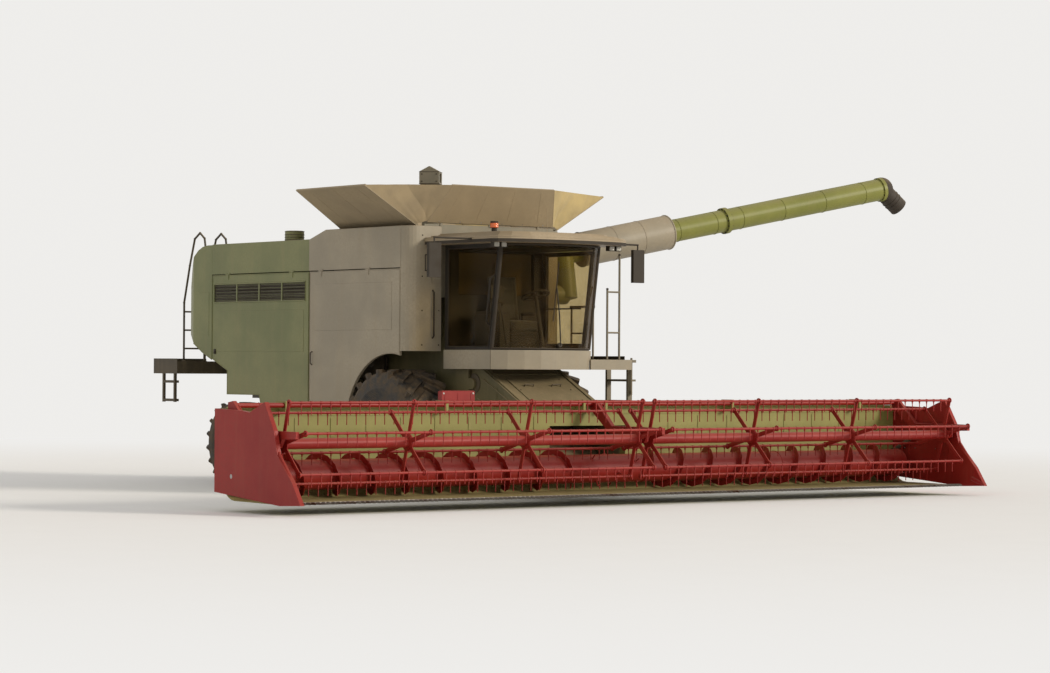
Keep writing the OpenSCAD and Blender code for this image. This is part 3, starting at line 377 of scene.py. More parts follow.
# Mesh pieces: forms given in metres, in the machine's own reference or in a frame within it
class Form:
    """Collects bevelled boxes, bars, pipes and outlines into one mesh."""

    def __init__(self, place=None):
        self.mesh = bmesh.new()
        self.place = place if place is not None else Matrix.Identity(4)
        self.slot = 0

    def add(self, points, rings):
        made = [self.mesh.verts.new(at(*(self.place @ Vector(point)))) for point in points]
        faces = [self.mesh.faces.new([made[i] for i in ring]) for ring in rings]
        for face in faces:
            face.material_index = self.slot
        return faces

    def round_edges(self, faces, width, steps):
        edges = {edge for face in faces for edge in face.edges}
        done = bmesh.ops.bevel(self.mesh, geom=list(edges), offset=width, segments=steps,
                               affect="EDGES", clamp_overlap=True)
        for face in done["faces"]:
            face.material_index = self.slot

    def box(self, low, high, bevel=0.004, steps=2):
        points = [(x, y, z) for x in (low[0], high[0]) for y in (low[1], high[1]) for z in (low[2], high[2])]
        faces = self.add(points, [(0, 1, 3, 2), (4, 6, 7, 5), (0, 4, 5, 1), (2, 3, 7, 6), (0, 2, 6, 4), (1, 5, 7, 3)])
        if bevel:
            self.round_edges(faces, bevel, steps)

    def prism(self, outline, axis, start, end, bevel=0.003):
        """Closed outline across an axis (0, 1 or 2), drawn out from start to end."""
        count = len(outline)
        points = []
        for level in (start, end):
            for pair in outline:
                point = list(pair)
                point.insert(axis, level)
                points.append(point)
        rings = [tuple(range(count)), tuple(range(2 * count - 1, count - 1, -1))]
        rings += [(i, i + count, (i + 1) % count + count, (i + 1) % count) for i in range(count)]
        faces = self.add(points, rings)
        if bevel:
            self.round_edges(faces, bevel, 1)

    def pipe(self, path, radius, sides=10, closed=False):
        """Round bar along a path; radius may change from point to point."""
        points = [Vector(point) for point in path]
        count = len(points)
        flat, normal = [], None
        for i, point in enumerate(points):
            before = points[i - 1] if i or closed else point
            after = points[(i + 1) % count] if i < count - 1 or closed else point
            along = (after - before).normalized()
            if normal is None:
                normal = along.orthogonal().normalized()
            else:
                normal = (normal - along * normal.dot(along)).normalized()
            side = along.cross(normal)
            size = radius[i] if isinstance(radius, (list, tuple)) else radius
            turns = [2 * math.pi * k / sides for k in range(sides)]
            flat += [point + size * (math.cos(t) * normal + math.sin(t) * side) for t in turns]
        rings = []
        for i in range(count if closed else count - 1):
            a, b = i * sides, ((i + 1) % count) * sides
            rings += [(a + k, a + (k + 1) % sides, b + (k + 1) % sides, b + k) for k in range(sides)]
        if not closed:
            rings += [tuple(range(sides - 1, -1, -1)), tuple(range((count - 1) * sides, count * sides))]
        self.add(flat, rings)

    def turned(self, centre, axis, profile, sides=24):
        """Turned form: profile holds pairs of distance along the axis and radius."""
        along = Vector(axis).normalized()
        path, sizes = [], []
        for i, (step, size) in enumerate(profile):
            path.append(Vector(centre) + along * (step + 1e-5 * i))
            sizes.append(size)
        self.pipe(path, sizes, sides)

    def hoop(self, centre, axis, radius, bar, sides=32):
        along = Vector(axis).normalized()
        first = along.orthogonal().normalized()
        second = along.cross(first)
        turns = [2 * math.pi * k / sides for k in range(sides)]
        self.pipe([Vector(centre) + radius * (math.cos(t) * first + math.sin(t) * second) for t in turns],
                  bar, 8, closed=True)

    def bolts(self, places, axis, radius=0.010, height=0.009):
        """Hexagon heads on washers, standing out along an axis."""
        for place in places:
            self.turned(place, axis, [(-0.002, radius * 1.5), (height * 0.3, radius * 1.5)], 12)
            self.turned(place, axis, [(0.0, radius), (height * 0.9, radius), (height, radius * 0.8)], 6)

    def tread(self, x0, x1, y0, y1, z, pitch=0.06):
        """Raised lozenges of tread plate, turned by rows."""
        for i in range(int((x1 - x0) / pitch)):
            for k in range(int((y1 - y0) / pitch)):
                x, y = x0 + (i + 0.5) * pitch, y0 + (k + 0.5) * pitch
                long, short = (0.016, 0.004) if (i + k) % 2 else (0.004, 0.016)
                outline = [(x - long, y), (x, y - short), (x + long, y), (x, y + short)]
                self.prism(outline, 2, z - 0.001, z + 0.002, 0.0)

    def piece(self, name, body, slot, *materials):
        bmesh.ops.recalc_face_normals(self.mesh, faces=self.mesh.faces)
        data = bpy.data.meshes.new(name)
        self.mesh.to_mesh(data)
        self.mesh.free()
        for material in materials or (slot,):
            data.materials.append(MATERIALS[material])
        data.polygons.foreach_set("use_smooth", [True] * len(data.polygons))
        data.set_sharp_from_angle(angle=math.radians(38))
        obj = bpy.data.objects.new(name, data)
        bpy.context.scene.collection.objects.link(obj)
        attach(obj, body)
        return obj


def shift(x, y, z):
    return Matrix.Translation((x, y, z))


def turn(degrees, axis):
    return Matrix.Rotation(math.radians(degrees), 4, axis)


def mirrored(side):
    return Matrix.Scale(-1, 4, (0, 1, 0)) if side < 0 else Matrix.Identity(4)


SIDES = (("left", 1), ("right", -1))


# Padded seat: a crowned closed form with drawn-in sides and sewn channels
def pad_point(u, v, w, half, radius, crown):
    point = Vector((u * half[0], v * half[1], w * half[2]))
    inner = Vector([max(-h + radius, min(h - radius, c)) for c, h in zip(point, half)])
    out = point - inner
    if out.length > 1e-6:
        point = inner + out.normalized() * min(out.length, radius)
    point.x *= 1 - 0.035 * (1 - v * v) * abs(u) ** 3
    point.y *= 1 - 0.035 * (1 - u * u) * abs(v) ** 3
    point.z += crown * (1 - u * u) * (1 - v * v) * max(0.0, w)
    return point


def inflate(obj, cap):
    """Cloth run with pressure; no point moves further than cap."""
    start = [vertex.co.copy() for vertex in obj.data.vertices]
    modifier = obj.modifiers.new("Cloth", "CLOTH")
    modifier.settings.use_pressure = True
    modifier.settings.uniform_pressure_force = 4.0
    modifier.settings.effector_weights.gravity = 0.0
    scene = bpy.context.scene
    for step in range(1, 21):
        scene.frame_set(step)
    shown = obj.evaluated_get(bpy.context.evaluated_depsgraph_get())
    moved = [vertex.co.copy() for vertex in shown.data.vertices]
    obj.modifiers.clear()
    for vertex, before, after in zip(obj.data.vertices, start, moved):
        step = after - before
        vertex.co = before + step * min(1.0, cap / max(step.length, 1e-9))
    scene.frame_set(1)


def make_pad(name, half, place, crown, channels):
    mesh = bmesh.new()
    bmesh.ops.create_cube(mesh, size=2.0)
    bmesh.ops.subdivide_edges(mesh, edges=mesh.edges, cuts=23, use_grid_fill=True)
    slim = [h - 0.007 for h in half]
    for vertex in mesh.verts:
        vertex.co = pad_point(*vertex.co, slim, 0.042, crown)
    data = bpy.data.meshes.new(name)
    mesh.to_mesh(data)
    mesh.free()
    obj = bpy.data.objects.new(name, data)
    bpy.context.scene.collection.objects.link(obj)
    inflate(obj, 0.007)
    smooth = obj.modifiers.new("smooth", "SUBSURF")
    smooth.levels = 1
    data = bpy.data.meshes.new_from_object(obj.evaluated_get(bpy.context.evaluated_depsgraph_get()))
    obj.modifiers.clear()
    obj.data = data
    for vertex in data.vertices:
        u, v = vertex.co.x / half[0], vertex.co.y / half[1]
        if vertex.co.z > 0:
            for across, level in channels:
                gap = (v - level) * half[1] if across else (u - level) * half[0]
                vertex.co.z -= 0.010 * math.exp(-(gap / 0.010) ** 2)
        vertex.co = at(*(place @ vertex.co))
    data.materials.append(MATERIALS["seat_fabric"])
    data.polygons.foreach_set("use_smooth", [True] * len(data.polygons))
    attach(obj, "chassis")
    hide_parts("cab_interior")


SEAT_CHANNELS = [(True, -0.6), (True, 0.6), (False, -0.35), (False, 0.25)]
SEAT_PLACE = shift(1.035, 0, 2.480)
BACK_PLACE = shift(0.805, 0, 2.540) @ turn(-8, "Y") @ shift(0, 0, 0.350) @ turn(90, "Y")


def make_cab_inside():
    make_pad("seat_cushion", (0.270, 0.280, 0.080), SEAT_PLACE, 0.012, SEAT_CHANNELS)
    make_pad("seat_back", (0.350, 0.260, 0.060), BACK_PLACE, 0.010, SEAT_CHANNELS)
    form = Form()
    for z in (2.145, 2.19, 2.235, 2.28, 2.325):
        form.box((0.80, -0.24, z), (1.25, 0.24, z + 0.04), 0.015)
    form.box((0.785, -0.26, 2.365), (1.265, 0.26, 2.400), 0.008)
    for y in (-0.30, 0.30):
        form.box((0.80, y - 0.03, 2.64), (1.14, y + 0.03, 2.69), 0.018, 3)
        form.pipe([(0.83, y, 2.42), (0.83, y, 2.66)], 0.018)
    form.box((0.785, -0.56, 2.14), (1.385, -0.34, 2.66), 0.02, 3)
    form.box((0.80, -0.55, 2.655), (1.37, -0.35, 2.70), 0.014, 3)
    form.pipe([(1.28, -0.44, 2.69), (1.29, -0.44, 2.77), (1.31, -0.44, 2.81)], [0.014, 0.012, 0.026], 14)
    form.bolts([(0.95 + 0.06 * i, -0.41 - 0.05 * k, 2.70) for i in range(4) for k in range(3)], (0, 0, 1), 0.009, 0.010)
    piece = form.piece("cab_controls", "chassis", "cab_trim")
    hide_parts("cab_interior")
    form = Form()
    form.box((1.645, -0.07, 2.14), (1.765, 0.07, 2.18), 0.01)
    form.pipe([(1.705, 0, 2.16), (1.640, 0, 2.46), (1.590, 0, 2.69), (1.539, 0, 2.920)], [0.040, 0.034, 0.030, 0.026], 16)
    wheel = shift(1.535, 0, 2.930) @ turn(-20, "Y")
    form.place = wheel
    form.hoop((0, 0, 0), (0, 0, 1), 0.200, 0.015, 40)
    for angle in (90, 210, 330):
        x, y = math.cos(math.radians(angle)), math.sin(math.radians(angle))
        form.pipe([(0.03 * x, 0.03 * y, -0.01), (0.19 * x, 0.19 * y, 0)], 0.012)
    form.turned((0, 0, -0.02), (0, 0, 1), [(0, 0.045), (0.03, 0.05), (0.036, 0.035)], 20)
    form.place = Matrix.Identity(4)
    form.pipe([(1.50, -0.50, 2.20), (1.48, -0.56, 2.60), (1.40, -0.60, 2.92)], 0.014)
    form.box((1.37, -0.72, 2.88), (1.40, -0.47, 3.06), 0.008)
    piece = form.piece("steering_wheel", "chassis", "cab_trim")
    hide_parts("cab_interior")


# Tank flaps: each one's own frame, with u along the hinge, v up the slope and w off the inner face
FLAP_FRAMES = {
    "front": shift(0.420, 0, 3.994) @ turn(-90, "Z") @ turn(59, "X"),
    "rear": shift(-1.800, 0, 3.994) @ turn(90, "Z") @ turn(36.5, "X"),
    "left": shift(0, 1.280, 3.961) @ turn(30.6, "X"),
    "right": mirrored(-1) @ shift(0, 1.280, 3.961) @ turn(30.6, "X"),
}
# Ends along the hinge at the foot and at the top, and the slant, as in the source
FLAP_ENDS = {
    "front": (-1.165, 1.165, -0.945, 0.945, 0.640),
    "rear": (-1.165, 1.165, -0.985, 0.985, 0.880),
    "left": (-1.590, 0.370, -1.440, 0.365, 1.080),
    "right": (-1.590, 0.370, -1.440, 0.365, 1.080),
}


HEM = 0.0135
SIDE_NAMES = ("left", "right")


def flap_edge(name, end, v):
    """Place along the hinge of an end of a flap, 0 or 1, at height v up its slope."""
    ends = FLAP_ENDS[name]
    return ends[end] + (ends[end + 2] - ends[end]) * (v - 0.014) / (ends[4] - 0.014)


def make_flap_trim(name):
    slant = FLAP_ENDS[name][4]
    form = Form(FLAP_FRAMES[name])
    top = slant - HEM
    path = [(flap_edge(name, end, v) + HEM * (1 - 2 * end), v, -0.0137) for end, v in ((0, 0.06), (0, top), (1, top), (1, 0.06))]
    form.pipe(path, 0.0125, 8)
    count = 3 if name in SIDE_NAMES else 4
    for i in range(count):
        share = (i + 0.5) / count
        foot = flap_edge(name, 0, 0.08) * (1 - share) + flap_edge(name, 1, 0.08) * share
        top = flap_edge(name, 0, slant - 0.06) * (1 - share) + flap_edge(name, 1, slant - 0.06) * share
        outline = [(foot - 0.02, 0.08), (foot + 0.02, 0.08), (top + 0.02, slant - 0.06), (top - 0.02, slant - 0.06)]
        form.prism(outline, 2, -0.0268, -0.0245, 0.001)
    form.slot = 1
    for i in range(6):
        share = (i + 0.5) / 6
        u = flap_edge(name, 0, 0.035) * (1 - share) + flap_edge(name, 1, 0.035) * share
        form.bolts([(u, 0.035, -0.0245)], (0, 0, -1), 0.008, 0.002)
    form.piece("flap_trim_" + name, "flap_" + name, "flap_cloth", "flap_cloth", "bare_steel")


# Corner cloth between the edges of an end flap and a side flap, folded down its middle. Each half belongs to
# its own flap and moves with it.
ROWS, COLUMNS = 24, 24
CLOTH_FOOT = 0.032


def cloth_edges(end_flap, share):
    """Points of the end flap's edge and of the left flap's edge at a share of the slope."""
    points = []
    front = end_flap == "front"
    for name, end, inset in ((end_flap, 0 if front else 1, 0.022), ("left", 1 if front else 0, 0.0125)):
        v = CLOTH_FOOT + (FLAP_ENDS[name][4] - CLOTH_FOOT) * share
        gap = (0.0025 * (1 - share) + 0.0006) * (2 * end - 1)
        points.append(FLAP_FRAMES[name] @ Vector((flap_edge(name, end, v) + gap, v, -inset)))
    return points


def cloth_grid(end_flap):
    (base_a, base_b), (top_a, top_b) = cloth_edges(end_flap, 0.0), cloth_edges(end_flap, 1.0)
    inward = (top_b - top_a).cross((base_a + base_b) / 2 - top_a).normalized()
    if (Vector((-0.69, 0, 4.2)) - (top_a + top_b) / 2).dot(inward) < 0:
        inward.negate()
    grid = []
    for i in range(ROWS + 1):
        share = i / ROWS
        a, b = cloth_edges(end_flap, share)
        line = []
        fold = 0.5 - 0.38 * (1 - share) ** 2
        for k in range(COLUMNS + 1):
            crease = 1 - abs(2 * k / COLUMNS - 1)
            u = fold * crease if 2 * k <= COLUMNS else 1 - (1 - fold) * crease
            ripple = 0.003 * math.sin(9 * math.pi * u + 2.5 * share) * math.sin(2 * math.pi * u) ** 2
            point = a.lerp(b, u) + inward * (0.06 * (b - a).length * crease + ripple)
            point.z -= 0.025 * share * crease
            line.append(point)
        grid.append(line)
    return grid


def make_cloth_half(name, points, flap, side):
    """Half of a corner cloth: rows of points from the flap's edge to the middle fold."""
    mesh = bmesh.new()
    made = [[mesh.verts.new(at(p.x, p.y * side, p.z)) for p in line] for line in points]
    for low, high in zip(made, made[1:]):
        for k in range(len(low) - 1):
            mesh.faces.new((low[k], low[k + 1], high[k + 1], high[k]))
    area = sum(face.calc_area() for face in mesh.faces)
    data = bpy.data.meshes.new(name)
    mesh.to_mesh(data)
    mesh.free()
    # Left cloths get the lighter copy as painted light, right cloths the darker copy as painted shade.
    data.materials.append(MATERIALS["gusset_cloth" if side > 0 else "gusset_painted_shade"])
    data.polygons.foreach_set("use_smooth", [True] * len(data.polygons))
    obj = bpy.data.objects.new(name, data)
    bpy.context.scene.collection.objects.link(obj)
    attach(obj, flap)
    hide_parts("tank_gussets")
    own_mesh(obj)


def make_corner_cloths(end_flap):
    grid = cloth_grid(end_flap)
    half = COLUMNS // 2
    for name, side in SIDES:
        label = "corner_cloth_%s_%s" % (end_flap, name)
        make_cloth_half(label + "_end", [line[:half + 1] for line in grid], "flap_" + end_flap, side)
        make_cloth_half(label + "_side", [line[:half - 1:-1] for line in grid], "flap_" + name, side)


# Tank: covers over the cross augers, wall ribs and a ladder inside
def make_tank_inside():
    form = Form()
    for x in (-1.42, -0.08):
        outline = [(x - 0.17, 2.95), (x, 3.14), (x + 0.17, 2.95), (x + 0.15, 2.95), (x, 3.115), (x - 0.15, 2.95)]
        form.prism(outline, 1, -1.20, 1.20, 0.002)
    for y in (-1.0, -0.6, 0.6, 1.0):
        for x in (-1.757, 0.377):
            form.box((x - 0.006, y - 0.03, 3.0), (x + 0.006, y + 0.03, 3.88), 0.003)
    for x in (-1.5, -1.0, -0.4, 0.1):
        for y in (-1.238, 1.238):
            form.box((x - 0.03, y - 0.006, 3.0), (x + 0.03, y + 0.006, 3.88), 0.003)
    form.slot = 1
    for z in (3.15, 3.40, 3.65):
        form.pipe([(-1.755, -0.15, z), (-1.70, -0.15, z), (-1.70, 0.15, z), (-1.755, 0.15, z)], 0.011)
    form.piece("tank_inside", "chassis", "tank_steel", "tank_steel", "dark_steel")


# Windscreen surface: share from -1 at the right pillar to 1 at the left one, and a height
CAB_FRONT, CAB_FLOOR, CAB_LEAN = 1.653, 2.140, math.radians(8.5)


def on_screen(share, z, out=0.0):
    angle = math.radians(48) * share
    x = CAB_FRONT - 0.6828 + (1.035 + out) * math.cos(angle)
    y = (0.9 + out) * math.sin(angle) / math.sin(math.radians(48))
    ahead = x - CAB_FRONT
    climb = (z - CAB_FLOOR + ahead * math.sin(CAB_LEAN)) / math.cos(CAB_LEAN)
    return (CAB_FRONT + ahead * math.cos(CAB_LEAN) + climb * math.sin(CAB_LEAN), y, z)


def front_at(z, back=0.0):
    return CAB_FRONT - back + (z - CAB_FLOOR) * math.tan(CAB_LEAN)


def make_cab_trim():
    form = Form()
    shares = [i / 8 for i in range(-8, 9)]
    form.pipe([on_screen(s, 2.152, 0.004) for s in shares], 0.013)
    form.pipe([on_screen(s, 3.640, 0.004) for s in shares], 0.016)
    for s in (-1, 1):
        form.pipe([on_screen(s, 2.145 + 0.1 * i, -0.008) for i in range(16)], 0.030, 12)
    window = [(0.615, 2.18), (front_at(2.18, 0.06), 2.18), (front_at(3.60, 0.06), 3.60), (0.615, 3.60)]
    form.pipe([(x, -0.901, z) for x, z in window], 0.011, 8, closed=True)
    form.pipe([(0.533, y, z) for y, z in ((-0.70, 2.94), (0.70, 2.94), (0.70, 3.57), (-0.70, 3.57))], 0.010, 8, closed=True)
    # wiper with its arm, parked low on the windscreen
    form.turned(on_screen(0.05, 2.20, 0.0), (1, 0, 0.15), [(0, 0.035), (0.04, 0.035), (0.045, 0.02)], 16)
    form.pipe([on_screen(0.05, 2.20, 0.045), on_screen(-0.02, 2.62, 0.045), on_screen(-0.10, 3.02, 0.03)], 0.009)
    form.pipe([on_screen(-0.10, 2.55 + 0.12 * i, 0.014) for i in range(8)], 0.008)
    # handle on the right pillar
    form.pipe([(1.60, -0.905, 2.5), (1.63, -0.965, 2.55), (1.72, -0.965, 3.15), (1.74, -0.905, 3.2)], 0.014)
    form.piece("cab_seals", "chassis", "black_plastic")

    form = Form()
    rim = [(2.050, 1.220), (2.170, 1.175), (2.270, 1.010), (2.345, 0.700), (2.378, 0.350), (2.385, 0.0)]
    edge = rim + [(x, -y) for x, y in reversed(rim[:-1])]
    form.pipe([(x - 0.004, y, 3.738) for x, y in edge], 0.008)
    for y in (-1.216, 1.216):
        form.pipe([(0.47, y, 3.738), (2.05, y, 3.738)], 0.008)
    for y in (-0.45, 0.45):
        form.box((0.75, y - 0.30, 3.818), (1.75, y + 0.30, 3.834), 0.008)
    form.pipe([(0.72, 0.85, 3.78), (0.70, 0.85, 4.25)], [0.006, 0.002], 8)
    form.slot = 1
    ring = [(0.47, -1.220)] + edge[::-1] + [(0.47, 1.220)]
    inside = [(x - 0.02, y * 0.985) for x, y in ring]
    form.prism([(x + 0.003, y * 1.003) for x, y in ring] + inside[::-1], 2, 3.662, 3.706, 0.0)
    form.bolts([(x, y, 3.79) for x in (0.62, 1.95) for y in (-0.9, -0.3, 0.3, 0.9)], (0, 0, 1), 0.011, 0.010)
    form.piece("roof_trim", "chassis", "roof_cream", "roof_cream", "black_plastic")

    form = Form()
    for y in (-1.165, -1.035, 0.945, 1.075):
        form.box((2.064, y, 3.594), (2.078, y + 0.09, 3.655), 0.006, 3)
    form.piece("roof_lamp_lenses", "chassis", "cab_glass", "lens_white")
    form = Form()
    form.turned((1.400, -0.660, 3.898), (0, 0, 1), [(0, 0.0605), (0.060, 0.0600), (0.080, 0.050), (0.092, 0.018)], 28)
    form.piece("beacon_lens", "chassis", "black_plastic", "lens_amber")
    form = Form()
    for side in (-1, 1):
        low, high = sorted((side * 1.785, side * 1.965))
        form.box((1.564, low, 3.30), (1.571, high, 3.625), 0.003)
        form.box((1.564, low, 3.165), (1.571, high, 3.285), 0.003)
    form.piece("mirror_faces", "chassis", "black_plastic", "mirror_glass")

    form = Form()
    door = [(0.685, 2.23), (front_at(2.23, 0.125), 2.23), (front_at(3.535, 0.125), 3.535), (0.685, 3.535)]
    form.pipe([(x, 0.895, z) for x, z in door], 0.010, 8, closed=True)
    form.pipe([(1.664, 0.920, 2.855), (1.664, 0.950, 2.875), (1.664, 0.950, 2.935), (1.664, 0.920, 2.955)], 0.008)
    form.pipe([(0.70, 0.845, 2.75), (0.74, 0.800, 2.75), (1.50, 0.800, 2.75), (1.54, 0.845, 2.75)], 0.011)
    form.piece("door_trim", "cab_door", "cab_dark", "black_plastic")


# Side doors, bands and hood
def arch_path(side):
    """Lower outline of a front side door, over the front wheel."""
    front = 0.230 if side < 0 else -0.210
    end = math.degrees(math.acos(front / 1.16))
    path = [(front, 3.305), (-2.130, 3.305), (-2.130, 1.010), (-1.152, 1.010)]
    turns = [176 - (176 - end) * i / 14 for i in range(1, 15)]
    return path + [(1.16 * math.cos(math.radians(t)), 0.92 + 1.16 * math.sin(math.radians(t))) for t in turns]


REAR_DOOR = [(-2.170, 3.305), (-2.170, 1.010), (-3.393, 1.010), (-3.553, 1.430), (-4.490, 1.430),
             (-4.490, 1.806), (-4.940, 1.988), (-4.940, 3.305)]


def make_side_doors():
    for name, side in SIDES:
        form = Form(mirrored(side))
        form.pipe([(x, 1.499, z) for x, z in arch_path(side)], 0.007, 8, closed=True)
        front = 0.03 if side < 0 else -0.40
        form.prism([(-1.98, 2.42), (front, 2.42), (front, 3.12), (-1.98, 3.12)], 1, 1.499, 1.504, 0.004)
        form.slot = 1
        for x in (-2.02, -1.30):
            form.box((x - 0.03, 1.498, 1.05), (x + 0.03, 1.512, 1.13), 0.005)
            form.turned((x, 1.505, 1.075), (0, 1, 0), [(0, 0.014), (0.016, 0.014), (0.02, 0.009)], 12)
        form.pipe([(-2.06, 1.50, 1.9), (-2.06, 1.535, 1.92), (-2.06, 1.535, 2.08), (-2.06, 1.50, 2.1)], 0.009)
        form.piece("front_door_trim_" + name, "door_front_" + name, "body_cream", "body_cream", "black_plastic")
        form = Form(mirrored(side))
        form.pipe([(x, 1.499, z) for x, z in REAR_DOOR], 0.007, 8, closed=True)
        grille = [(-4.88, 2.88), (-2.26, 2.88), (-2.26, 3.17), (-4.88, 3.17)]
        form.pipe([(x, 1.500, z) for x, z in grille], 0.012, 8, closed=True)
        for x in (-4.22, -3.57, -2.92):
            form.box((x - 0.02, 1.482, 2.88), (x + 0.02, 1.503, 3.17), 0.004)
        form.prism([(-4.80, 2.10), (-2.30, 2.10), (-2.30, 2.74), (-4.80, 2.74)], 1, 1.499, 1.504, 0.004)
        form.slot = 1
        for x in (-4.86, -2.9):
            z = 2.06 if x < -4 else 1.05
            form.box((x - 0.03, 1.498, z), (x + 0.03, 1.512, z + 0.08), 0.005)
            form.turned((x, 1.505, z + 0.025), (0, 1, 0), [(0, 0.014), (0.016, 0.014), (0.02, 0.009)], 12)
        # Louvre slats in black plastic over the green door: painted shade of the louvre openings.
        for i in range(11):
            z = 2.892 + 0.026 * i
            form.prism([(1.482, z), (1.499, z - 0.006), (1.499, z + 0.008), (1.482, z + 0.014)], 0, -4.875, -2.265, 0.0)
        form.piece("rear_door_trim_" + name, "door_rear_" + name, "body_green", "body_green", "black_plastic")


HOOD_ARC = [(-4.965, 3.802)] + [(-5.100 - 0.592 * math.sin(math.radians(a)), 3.230 + 0.572 * math.cos(math.radians(a)))
                                for a in range(0, 76, 5)] + [(-5.803, 3.02), (-5.862, 2.80)]


def make_body_trim():
    form = Form()
    form.pipe([(-4.96, -1.488, 3.798), (-2.165, -1.488, 3.798)], 0.012)
    form.pipe([(-4.96, 1.303, 3.798), (-2.165, 1.303, 3.798)], 0.012)
    for y in (-0.72, 0.52):
        form.pipe([(-3.80, y, 3.832), (-3.80, y, 3.875), (-3.64, y, 3.875), (-3.64, y, 3.832)], 0.009)
    form.pipe([(x, y, 3.826) for x, y in ((-3.89, -0.89), (-2.51, -0.89), (-2.51, 0.69), (-3.89, 0.69))], 0.010, 8, closed=True)
    form.bolts([(x, y, 3.83) for x in (-3.86, -3.2, -2.54) for y in (-0.86, 0.66)], (0, 0, 1))
    form.slot = 1
    form.turned((-3.15, -1.12, 3.968), (0, 0, 1), [(0, 0.154), (0.008, 0.154), (0.014, 0.13)], 28)
    for z in (3.84, 3.88, 3.92):
        form.hoop((-3.15, -1.12, z), (0, 0, 1), 0.151, 0.006)
    form.pipe([(-2.30, 1.05, 3.79), (-2.30, 1.05, 3.93), (-2.34, 1.05, 3.99), (-2.44, 1.05, 4.02)], 0.055, 20)
    form.pipe([(-4.90, 1.15, 3.79), (-4.90, 1.15, 3.95), (-4.30, 1.15, 3.95), (-4.30, 1.15, 3.79)], 0.013)
    form.piece("deck_trim", "chassis", "body_green", "body_green", "dark_steel")

    form = Form()
    form.pipe([(-2.150, -1.488, 3.800), (-1.72, -1.488, 3.930), (0.24, -1.488, 3.930)]
              + [(0.245 + 0.189 * math.cos(math.radians(a)), -1.299 + 0.189 * math.sin(math.radians(a)), 3.928)
                 for a in range(-80, 1, 16)] + [(0.434, -0.91, 3.928)], 0.012)
    form.pipe([(-2.150, 1.303, 3.800), (-1.72, 1.303, 3.900), (-0.15, 1.303, 3.900)], 0.012)
    for z in (2.60, 3.10):
        form.box((0.444, -1.08, z), (0.452, -0.93, z + 0.10), 0.004)
    form.pipe([(0.250, -1.5005, 2.13), (0.250, -1.5005, 3.90)], 0.004, 6)
    form.slot = 1
    form.pipe([(0.450, y, z) for y, z in ((-1.20, 3.285), (-0.94, 3.285), (-0.94, 3.515), (-1.20, 3.515))], 0.009, 8, closed=True)
    form.pipe([(0.447, -1.06, 2.30), (0.480, -1.06, 2.33), (0.480, -1.06, 2.97), (0.447, -1.06, 3.00)], 0.013)
    form.bolts([(0.446, y, z) for y in (-1.25, -0.95) for z in (2.2, 2.7, 3.2, 3.8)], (1, 0, 0), 0.008, 0.006)
    form.piece("band_trim", "chassis", "body_cream", "body_cream", "black_plastic")

    form = Form()
    for y in (-1.20, -0.55, 0.55, 1.20):
        form.pipe([(x, y, z) for x, z in HOOD_ARC[:-2]], 0.009, 8)
    for side in (-1, 1):
        form.pipe([(-5.52, side * 1.493, 2.235), (-5.25, side * 1.493, 2.090), (-4.97, side * 1.493, 1.978)], 0.012)
        form.pipe([(-4.975, side * 1.496, 3.25), (-4.975, side * 1.496, 2.0)], 0.006, 6)
        form.prism([(-5.45, 2.50), (-5.05, 2.34), (-5.05, 3.05), (-5.45, 3.05)], 1, side * 1.499, side * 1.504, 0.004)
    form.pipe([(-5.862, -1.16, 2.445), (-5.862, 1.16, 2.445)], 0.012)
    form.pipe([(-5.863, y, z) for y, z in ((-0.55, 2.50), (0.62, 2.50), (0.62, 2.76), (-0.55, 2.76))], 0.008, 8, closed=True)
    form.slot = 1
    for side in (-1, 1):
        low, high = sorted((side * 1.02, side * 1.16))
        form.box((-5.885, low, 2.50), (-5.855, high, 2.76), 0.008)
    form.pipe([(-5.862, -0.08, 2.60), (-5.895, -0.08, 2.60), (-5.895, 0.16, 2.60), (-5.862, 0.16, 2.60)], 0.009)
    form.slot = 2
    for side in (-1, 1):
        low, high = sorted((side * 1.032, side * 1.148))
        form.box((-5.892, low, 2.60), (-5.880, high, 2.75), 0.006, 3)
    form.slot = 3
    for side in (-1, 1):
        low, high = sorted((side * 1.032, side * 1.148))
        form.box((-5.892, low, 2.515), (-5.880, high, 2.585), 0.006, 3)
    form.piece("hood_trim", "chassis", "body_green", "body_green", "black_plastic", "lens_red", "lens_amber")


# Belt drives on the threshing body, seen under the raised side doors
def make_drives():
    form = Form()
    for side in (-1, 1):
        for x, z, size in ((-1.35, 1.95, 0.34), (-2.35, 1.55, 0.22), (-2.75, 2.35, 0.40), (-3.75, 2.15, 0.26)):
            form.turned((x, side * 0.785, z), (0, side, 0),
                        [(0, 0.07), (0.05, 0.07), (0.051, size), (0.060, size), (0.068, size - 0.015),
                         (0.092, size - 0.015), (0.10, size), (0.109, size), (0.11, 0.08), (0.15, 0.06)], 40)
    form.slot = 1
    for side in (-1, 1):
        for (ax, az, ar), (bx, bz, br) in (((-1.35, 1.95, 0.325), (-2.75, 2.35, 0.385)), ((-2.75, 2.35, 0.38), (-3.75, 2.15, 0.245))):
            along = math.atan2(bz - az, bx - ax)
            path = [(ax + ar * math.cos(along + t), side * 0.865, az + ar * math.sin(along + t))
                    for t in [math.radians(90 + 15 * i) for i in range(13)]]
            path += [(bx + br * math.cos(along + t), side * 0.865, bz + br * math.sin(along + t))
                     for t in [math.radians(-90 + 15 * i) for i in range(13)]]
            form.pipe(path, 0.011, 8, closed=True)
        for z in (2.55, 2.75):
            form.pipe([(-4.40, side * 0.80, z), (-2.0, side * 0.80, z), (0.30, side * 0.80, z - 0.2)], 0.016)
    form.piece("belt_drives", "chassis", "dark_steel", "dark_steel", "black_plastic")


# Augers
TUBE = shift(0.100, 1.600, 3.620) @ turn(-8.5, "Z") @ turn(11.2, "X") @ turn(-90, "X")
ELBOW_AT = 6.1223


